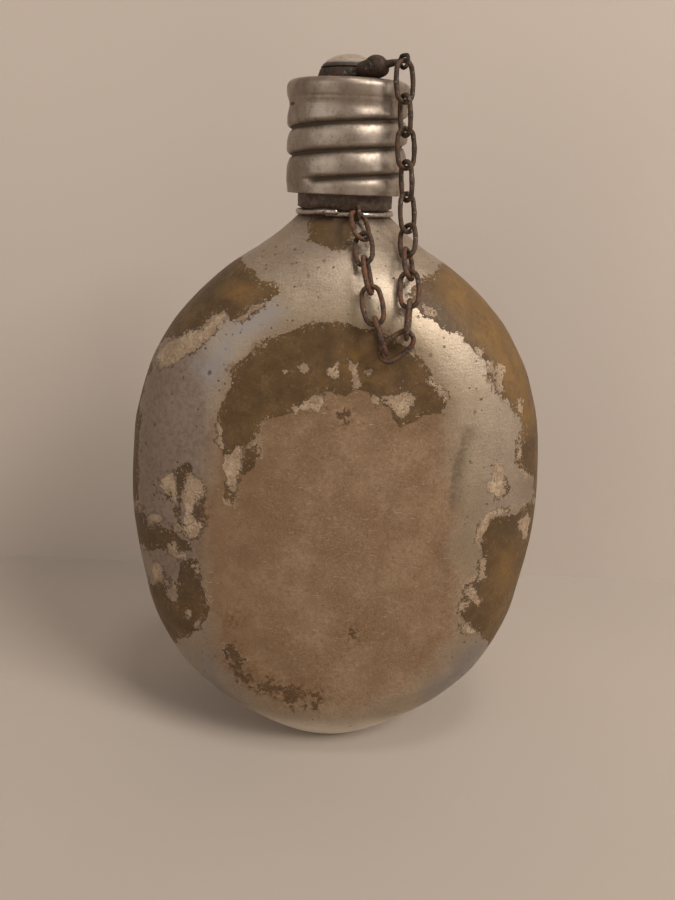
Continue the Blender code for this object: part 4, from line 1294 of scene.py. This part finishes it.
def paint_patches(s, n):
    """How far olive and cream cover the skin, from 0 to 1, with the paint's chips and cracks."""
    torn = s.fade(n.cloud, 0.42, 0.62, 1.6, 7.5)
    ragged = s.sum((n.mottle, 6.0), (s.sum(n.crumble, -0.5), torn), (n.grit, 0.8), -3.4)
    olive_in = s.sum(s.field("olive"), (ragged, 0.8))
    cream_in = s.sum(s.field("cream"), (n.mottle, 3.2), (n.crumble, 5.5), (n.grit, 1.2), -5.0)
    olive = s.fade(olive_in, -0.08, 0.08)
    rim_width = s.fade(s.sum((n.cloud, 0.6), (n.crumble, 0.5)), 0.54, 0.66)
    rim = s.fade(s.sum(olive_in, rim_width), -0.05, 0.05)
    flakes = s.fade(s.sum((n.worn, 0.8), (n.crumble, 0.3)), 0.44, 0.48)
    cream_edge = s.fade(cream_in, -0.07, 0.07)
    cream = s.most(s.times(cream_edge, flakes), s.less(rim, olive))
    seam = s.sum(s.cells(2.0, feature="DISTANCE_TO_EDGE")["Distance"], (n.crumble, 0.55), -0.26)
    cracks = s.times(s.fade(seam, 0.01, 0.07, 1.0, 0.0), s.fade(n.cloud, 0.36, 0.50), cream)
    near_edge = s.fade(s.maths("ABSOLUTE", olive_in), 0.5, 2.4, 1.0, 0.0)
    chips = s.fade(s.sum(n.worn, (n.mottle, 0.4)), 0.785, 0.81)
    reach = s.fade(s.sum((n.cloud, 0.7), (n.crumble, 0.5)), 0.5, 0.68, 0.05, 0.7)
    return SimpleNamespace(
        olive=olive, cream=cream, cracks=cracks,
        chips=s.times(chips, s.sum((near_edge, 0.88), 0.12), olive),
        outline=s.less(s.fade(s.sum(cream_in, reach), -0.08, 0.08), cream_edge),
    )


def skin_patches(s, n):
    """How far paint, primer, a dusty film with painted shade, the neck's darkening, painted shade in the
    dents and on the left, stains and pits cover the skin, from 0 to 1.
    """
    p = paint_patches(s, n)
    fleck_in = s.sum(s.field("flecks"), (n.mottle, 6.0), (n.crumble, 11.0), (n.grit, 3.0), -10.3)
    dust_in = s.sum(s.field("dust"), (n.broad, 9.0), (n.cloud, 9.0), (n.crumble, 2.0), -10.3)
    p.primer_in = s.sum(s.field("primer"), (n.cloud, 10.0), (n.crumble, 3.5), -6.4)
    p.primer = s.fade(p.primer_in, -5.4, 3.8)
    p.flecks = s.fade(fleck_in, -0.1, 0.1)
    p.dust = s.fade(dust_in, -6.0, 4.0)
    # Painted shade: darker towards the left, the side away from the key lamp.
    p.left = s.fade(s.sum(s.across(), (n.mottle, 16.0), (n.cloud, 16.0)), -24.0, 14.0, 1.0, 0.0)
    # Painted shade in the dents.
    p.smear = s.times(s.field("smear"), s.fade(s.sum((n.brushed, 0.5), (n.crumble, 0.6)), 0.4, 0.6))
    # Darker on the neck, under the cap.
    grime = s.fade(s.sum((n.mottle, 0.6), (n.crumble, 0.5)), 0.4, 0.75, 1.0, 0.85)
    p.grime = s.times(s.field("neck"), grime)
    p.stain = s.fade(s.sum((n.blotch, 0.75), (n.cloud, 0.35)), 0.62, 0.76)
    p.deep = pits(s, 2.0, (n.crumble, 0.5), (0.04, 0.2), (n.cloud, 0.8), (0.88, 0.98))
    p.spots = pits(s, 4.2, (n.crumble, 0.5), (0.04, 0.2), (n.cloud, 0.8), (0.86, 0.96))
    return p


def bare_metal(s, n, p):
    """The bare metal's tone, with its grain, stains, pits, a dusty violet film that is partly painted shade,
    a bluish tone that is partly a painted sheen, and painted bounce light at the foot.
    """
    tone = s.sum((n.broad, 0.9), (n.mottle, 0.5), -0.2)
    violet = s.mix(s.fade(n.crumble, 0.4, 0.65), DUST_AND_SHADE_LIGHT, DUST_AND_SHADE_DARK)
    # The pale fringe fades on the left as painted shade.
    fringe = s.times(s.fade(p.primer_in, -14.0, -1.0), s.fade(n.crumble, 0.3, 0.6, 0.6, 0.25),
                     s.sum((p.left, -0.6), 1.0), s.less(1.0, p.dust))
    haze_and_sheen_in = s.sum(s.field("haze_and_sheen"), (n.cloud, 8.0), (n.mottle, 3.0), -5.5)
    return s.over(
        s.mix(s.fade(tone, 0.3, 0.75), BARE_DARK, BARE_LIGHT),
        (n.brushed, 0.25, 0.75, 0.45, 0.0, BARE_BRUSHED),
        (n.grit, 0.36, 0.58, 0.42, 0.0, BARE_GRAIN),
        (n.grit, 0.6, 0.74, 0.0, 0.25, BARE_SPECK),
        (s.times(p.stain, 0.6), STAIN),
        (s.times(p.deep, 0.8), PIT),
        (n.worn, 0.63, 0.70, 0.0, 0.45, PIT),
        # Dusty violet film, partly painted shade.
        (s.times(p.dust, 0.85), violet),
        (fringe, FRINGE),
        # Bluish oxide tone, partly a painted sheen of reflected light.
        (haze_and_sheen_in, -4.0, 3.0, 0.0, 0.75, HAZE_AND_SHEEN),
        # Painted bounce light from the floor on the foot.
        (s.times(s.field("foot"), 0.85), FOOT_BOUNCE_LIGHT),
        (s.times(s.most(p.deep, p.spots), s.sum((p.dust, 0.25), 0.6)), PIT),
    )


def primer_film(s, n, p):
    """The worn primer's tone, with specks, pits, bright scratches and rust."""
    rusty = s.times(s.fade(s.field("flecks"), -5.0, 0.5), s.fade(n.crumble, 0.42, 0.6))
    return s.over(
        s.mix(s.fade(s.sum((n.broad, 0.5), (n.cloud, 0.7)), 0.5, 0.75), FILM_DARK, FILM_LIGHT),
        (n.crumble, 0.4, 0.72, 0.0, 0.6, FILM_BROWN),
        (n.grit, 0.52, 0.70, 0.0, 0.5, FILM_SPECK),
        (n.grit, 0.34, 0.46, 0.35, 0.0, FILM_PIT),
        (n.worn, 0.58, 0.68, 0.0, 0.65, FILM_PIT),
        (n.brushed, 0.25, 0.6, 0.25, 0.0, FILM_BROWN),
        # Painted shade: browner towards the left.
        (s.times(p.left, 0.65), FILM_BROWN),
        (n.scratch, 0.73, 0.77, 0.0, 0.8, FILM_NICK),
        (s.times(rusty, 0.75), FILM_RUST),
    )


def olive_paint(s, n, p):
    """The olive paint's tone, faded to ochre in places."""
    ochre = s.fade(s.sum(s.field("ochre"), (n.cloud, 8.0), (n.crumble, 3.0), -5.5), -2.0, 2.0)
    faded = s.times(ochre, s.fade(s.sum((n.cloud, 0.5), (n.mottle, 0.6)), 0.42, 0.66, 0.95, 0.3))
    stained = s.times(s.fade(n.crumble, 0.5, 0.72, 0.0, 0.65), s.sum((ochre, -0.35), 1.0))
    return s.over(
        s.mix(s.fade(s.sum((n.broad, 0.8), (n.mottle, 0.7)), 0.55, 0.95), OLIVE_DARK, OLIVE_LIGHT),
        (faded, OCHRE),
        (stained, OLIVE_STAIN),
        (n.grit, 0.58, 0.74, 0.0, 0.22, OLIVE_SPECK),
        # The dusty patches darken the olive as painted shade.
        (s.times(p.dust, 0.5), OLIVE_STAIN),
    )


def worn_paint():
    """Bare dull aluminium with primer, cream undercoat and olive paint left on it."""
    s = Surface("worn_paint")
    n = skin_noises(s)
    p = skin_patches(s, n)
    cream = s.mix(s.fade(s.sum((n.crumble, 0.7), (n.mottle, 0.4)), 0.42, 0.68), CREAM_LIGHT, CREAM_DARK)
    cream = s.over(cream, (s.times(p.cracks, 0.55), OUTLINE))
    colour = s.over(
        s.mix(p.primer, bare_metal(s, n, p), primer_film(s, n, p)),
        (p.olive, olive_paint(s, n, p)),
        (p.cream, cream),
        (p.chips, cream),
        (p.flecks, s.mix(s.fade(n.worn, 0.48, 0.58), FLECK, FILM_RUST)),
        (s.times(p.outline, 0.85), OUTLINE),
        # Painted shade in the dents.
        (s.times(p.smear, 0.5), PIT),
        # The neck's darker tone.
        (p.grime, s.mix(s.fade(n.crumble, 0.45, 0.65), NECK_DARK, NECK_BROWN)),
    )
    paint = s.most(p.olive, p.cream, p.flecks, p.grime)
    film = s.most(p.primer, s.times(p.dust, 0.6))
    metallic = s.times(s.less(1.0, paint), s.fade(film, 0.0, 1.0, 0.92, 0.1))
    bare_rough = s.sum((n.mottle, 0.22), (n.brushed, 0.14), (n.grit, 0.14), (p.stain, 0.12), 0.24)
    roughness = s.blend(film, bare_rough, s.sum((n.crumble, 0.3), 0.40))
    roughness = s.blend(paint, roughness, s.sum((n.crumble, 0.3), 0.42))
    relief = s.sum((p.olive, 0.12), (p.cream, 0.08), (p.chips, -0.05), (p.primer, 0.012), (p.flecks, 0.05),
                   (n.crumble, 0.07), (n.grit, 0.055), (p.deep, -0.05), (n.brushed, 0.03), (n.worn, 0.04),
                   (p.cracks, -0.03))
    return s.finish(colour, roughness, metallic, relief, PAINT_GLOSS)


def satin_cap():
    """Satin aluminium with fine turning lines, pits, and dark dirt with painted shade in the groove."""
    s = Surface("satin_cap")
    cloud = s.noise(9, 3, 0.55)
    mottle = s.noise(4, 4, 0.65)
    fine = s.noise(0.9, 4, 0.7)
    turning = s.noise((16, 16, 0.15), 3, 0.7)
    deep = pits(s, 1.7, (fine, 0.4), (0.02, 0.16), (cloud, 0.7), (0.88, 1.02))
    # Dirt and painted shade in the groove and under the rim; darker inside and round the rivet.
    dirt = s.fade(s.sum(s.field("groove"), (mottle, 0.3), (fine, 0.3), -0.3), 0.3, 0.8)
    colour = s.over(
        s.mix(s.fade(s.sum((cloud, 0.6), (mottle, 0.4)), 0.35, 0.65), CAP_LIGHT, CAP_DULL),
        (turning, 0.3, 0.65, 0.45, 0.0, CAP_LINE),
        (fine, 0.55, 0.72, 0.0, 0.5, CAP_STAIN),
        (s.sum((mottle, 0.6), (fine, 0.4)), 0.5, 0.62, 0.0, 0.45, CAP_STAIN),
        (s.times(deep, 0.75), PIT),
        (dirt, CAP_DIRT_AND_SHADE),
    )
    roughness = s.blend(dirt, s.sum((mottle, 0.2), (turning, 0.14), (fine, 0.14), 0.19), 0.75)
    relief = s.sum((turning, 0.02), (fine, 0.035), (deep, -0.03), (mottle, 0.05))
    return s.finish(colour, roughness, s.fade(dirt, 0.0, 1.0, 0.95, 0.1), relief)


def rubbed_rivet():
    """Aluminium rubbed on its crown and tarnished below, with a painted highlight on the crown and painted
    shade below it.
    """
    s = Surface("rubbed_rivet")
    mottle = s.noise(2.4, 4, 0.6)
    fine = s.noise(0.6, 3, 0.6)
    # Painted highlight on the crown and painted shade below, mixed with rubbing and tarnish.
    bright = s.fade(s.sum(s.field("lit_crown"), (mottle, 0.5), -0.25), 0.15, 0.9)
    colour = s.over(s.mix(bright, RIVET_TARNISH_AND_SHADE, RIVET_RUBBED_AND_LIT), (fine, 0.58, 0.7, 0.0, 0.5, RIVET_STAIN))
    roughness = s.blend(bright, 0.6, s.sum((mottle, 0.2), (fine, 0.12), 0.1))
    relief = s.sum((mottle, 0.07), (fine, 0.02))
    return s.finish(colour, roughness, s.fade(bright, 0.0, 1.0, 0.2, 1.0), relief)


def rusty_iron(name, dark, rust, coarse):
    """Brown rusted iron with scale and a few rubbed places."""
    s = Surface(name)
    blotch = s.noise(3.5 * coarse, 4, 0.65)
    scaly = s.noise(0.7 * coarse, 4, 0.7)
    grit = s.noise(0.25 * coarse, 2, 0.6)
    rubbed = s.times(s.fade(scaly, 0.36, 0.46, 1.0, 0.0), s.fade(blotch, 0.45, 0.55, 1.0, 0.0))
    colour = s.over(
        s.mix(s.fade(blotch, 0.42, 0.62), dark, rust),
        (scaly, 0.52, 0.68, 0.0, 0.75, shaded(dark, SCALE_SHADE)),
        (grit, 0.58, 0.72, 0.0, 0.5, shaded(rust, RUST_SHINE)),
        (s.times(rubbed, 0.6), RUBBED_IRON),
    )
    roughness = s.sum((scaly, 0.4), (rubbed, -0.2), 0.45)
    relief = s.sum((scaly, 0.16), (grit, 0.05), (blotch, 0.1))
    return s.finish(colour, roughness, s.sum((rubbed, 0.7), 0.15), relief, IRON_GLOSS)


def bright_wire():
    """Shiny drawn wire with a little brown dirt."""
    s = Surface("bright_wire")
    blotch = s.noise(4, 3, 0.6)
    fine = s.noise(0.7, 3, 0.6)
    dirt = s.fade(s.sum((blotch, 0.8), (fine, 0.4)), 0.64, 0.8)
    colour = s.over(s.mix(s.fade(fine, 0.4, 0.7), WIRE_LIGHT, WIRE_DULL), (dirt, WIRE_DIRT))
    roughness = s.blend(dirt, s.sum((fine, 0.2), 0.22), 0.75)
    return s.finish(colour, roughness, s.fade(dirt, 0.0, 1.0, 1.0, 0.1), s.sum((fine, 0.015), (dirt, 0.02)))


def old_rubber():
    """Hardened dark rubber with a worn, dusty face."""
    s = Surface("old_rubber")
    blotch = s.noise(3, 4, 0.6)
    fine = s.noise(0.5, 3, 0.6)
    colour = s.mix(s.fade(blotch, 0.4, 0.65), RUBBER_DARK, RUBBER_BROWN)
    colour = s.over(colour, (fine, 0.55, 0.7, 0.0, 0.5, RUBBER_DUST))
    return s.finish(colour, s.sum((fine, 0.3), 0.55), 0.0, s.sum((blotch, 0.12), (fine, 0.05)))


def dull_washer():
    """Tarnished aluminium plate with scratches."""
    s = Surface("dull_washer")
    blotch = s.noise(3, 4, 0.6)
    lines = s.noise((0.3, 6, 6), 2)
    colour = s.mix(s.fade(blotch, 0.35, 0.65), WASHER_LIGHT, WASHER_DULL)
    colour = s.over(colour, (lines, 0.62, 0.7, 0.0, 0.6, WASHER_LINE))
    return s.finish(colour, s.sum((blotch, 0.3), 0.25), 1.0, s.sum((blotch, 0.04), (lines, 0.01)))


# Stage, in metres: the wall stands close behind the flask, as in the photograph.
FLOOR_REACH = 2.2
FLOOR_LOW = -0.0001
WALL_PLACE = 0.107
WALL_HEIGHT = 1.6
FLOOR_COLOUR = (0.405, 0.342, 0.290)
WALL_COLOUR = (0.475, 0.400, 0.340)
BACKDROP_COLOUR = (0.46, 0.392, 0.335)

# The paper's broad shades and its grain in millimetres, and how dark the shades are.
PAPER_CLOUD = 220
PAPER_GRAIN = 1.5
PAPER_SHADE = 0.93

# Lamps: where each stands and how wide it is, in metres, and its power in watts.
LAMP_TARGET = Vector((0, 0, 0.1))
KEY_TOWARD = Vector((0.58, -0.52, 0.63))
KEY_AWAY = 2.0
LAMPS = {
    "key": (LAMP_TARGET + KEY_TOWARD.normalized() * KEY_AWAY, 0.7, 31.0),
    "top": (Vector((0.25, -0.45, 1.7)), 0.35, 5.0),
    "fill": (Vector((-1.4, -1.4, 0.65)), 1.8, 10.0),
    "side": (Vector((1.5, -0.55, 0.45)), 0.8, 3.5),
}
LAMP_COLOUR = (1.0, 0.965, 0.92)
WORLD_COLOUR = (1.0, 0.97, 0.935)
WORLD_STRENGTH = 0.40
BACKDROP_RAYS = ("Is Camera Ray", "Is Glossy Ray", "Is Transmission Ray")
CLIP_START = 0.01


def pale_paper(name, colour):
    """Pale matt paper that lets light and sight through from behind."""
    s = Surface(name)
    fine = s.noise(PAPER_GRAIN, 2)
    tone = s.mix(s.fade(s.noise(PAPER_CLOUD, 2), 0.3, 0.7), colour, shaded(colour, PAPER_SHADE))
    s.finish(tone, s.sum((fine, 0.1), 0.6), 0.0, s.times(fine, 0.02))
    behind = s.node("ShaderNodeNewGeometry")["Backfacing"]
    s.choose("Material Output", behind, s.shader.outputs[0], s.node("ShaderNodeBsdfTransparent")[0])
    return s.owner


def stage_sheet():
    """Floor and wall in one sheet."""
    reach = FLOOR_REACH
    verts = [(side * reach, y, FLOOR_LOW) for y in (-reach, WALL_PLACE, reach) for side in (-1, 1)]
    verts += [(side * reach, WALL_PLACE, WALL_HEIGHT) for side in (-1, 1)]
    mesh = bpy.data.meshes.new("stage_sheet")
    mesh.from_pydata(verts, [], [(0, 1, 3, 2), (2, 3, 5, 4), (2, 3, 7, 6)])
    mesh.materials.append(pale_paper("floor_paper", FLOOR_COLOUR))
    mesh.materials.append(pale_paper("wall_paper", WALL_COLOUR))
    mesh.polygons[-1].material_index = 1
    sheet = place_object("stage_sheet", mesh)


def area_lamp(name, at, size, power):
    """A soft square lamp that looks at the flask."""
    data = bpy.data.lights.new(name, "AREA")
    data.size = size
    data.energy = power
    data.color = LAMP_COLOUR
    lamp = place_object(name, data)
    lamp.location = at
    lamp.rotation_mode = "QUATERNION"
    lamp.rotation_quaternion = (LAMP_TARGET - at).to_track_quat("-Z", "Y")


def light_stage():
    """A soft key from the upper right in front, three weak fills, and an even pale world."""
    for name, lamp in LAMPS.items():
        area_lamp(name, *lamp)
    room = Nodes(bpy.data.worlds.new("pale_room"))
    light = room.feed(room.tree.nodes["Background"], {"Color": WORLD_COLOUR, "Strength": WORLD_STRENGTH})[0]
    backdrop = room.node("ShaderNodeBackground", {"Color": BACKDROP_COLOUR})[0]
    rays = room.node("ShaderNodeLightPath")
    seen = room.most(*(rays[ray] for ray in BACKDROP_RAYS))
    room.choose("World Output", seen, light, backdrop)
    bpy.context.scene.world = room.owner


def photo_camera():
    """The camera at the photograph's place."""
    right, up, forward = camera_axes()
    data = bpy.data.cameras.new("camera")
    data.sensor_width = SENSOR
    data.lens = FOCUS / PHOTO_SIZE[1] * SENSOR
    data.clip_start = CLIP_START
    camera = place_object("camera", data)
    turn = Matrix((right, up, -forward)).transposed().to_4x4()
    camera.matrix_world = Matrix.Translation(CAMERA_AT * MM) @ turn
    bpy.context.scene.camera = camera


def dress(piece, body, slot, surface, *nodes):
    """Give a piece its material and its body, and hide the CAD nodes that it stands for; the slot is not
    used.
    """
    piece.data.materials.clear()
    piece.data.materials.append(surface)
    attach(piece, body)
    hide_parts(*nodes)


def dress_flask():
    """All pieces with their materials, on the bodies of the CAD nodes that they stand for."""
    dress(flask_shell(), "flask", "flask_aluminium", worn_paint(), "flask_body")
    dress(cap_shell(), "cap", "cap_aluminium", satin_cap(), "screw_cap")
    seal = drilled_disc("seal_disc", SEAL_RADIUS, SEAL_TOP, SEAL_THICKNESS, SEAL_EDGE)
    dress(seal, "cap", "seal_rubber", old_rubber(), "cap_seal")
    washer = drilled_disc("washer_disc", WASHER_RADIUS, WASHER_TOP, WASHER_THICKNESS, WASHER_EDGE)
    dress(washer, "cap", "rivet_aluminium", dull_washer(), "seal_washer")
    dress(rivet_piece(), "cap", "rivet_aluminium", rubbed_rivet(), "cap_rivet")
    dress(swivel_piece(), "swivel", "swivel_steel", rusty_iron("dark_iron", *DARK_IRON), "chain_swivel")
    dress(neck_wire(), "ring", "ring_wire", bright_wire(), "neck_ring")
    brown = rusty_iron("brown_iron", *BROWN_IRON)
    rust = rusty_iron("rusty_iron", *RUSTY_IRON)
    dress(neck_eye(), "ring", "ring_wire", rust, "neck_ring")
    for number in range(1, LINK_COUNT + 1):
        iron = brown if number <= BROWN_LINKS else rust
        dress(chain_link(number), f"link_{number:02d}", "chain_steel", iron, f"chain_link_{number:02d}")


bpy.context.scene.view_settings.view_transform = "Standard"
dress_flask()
stage_sheet()
light_stage()
photo_camera()
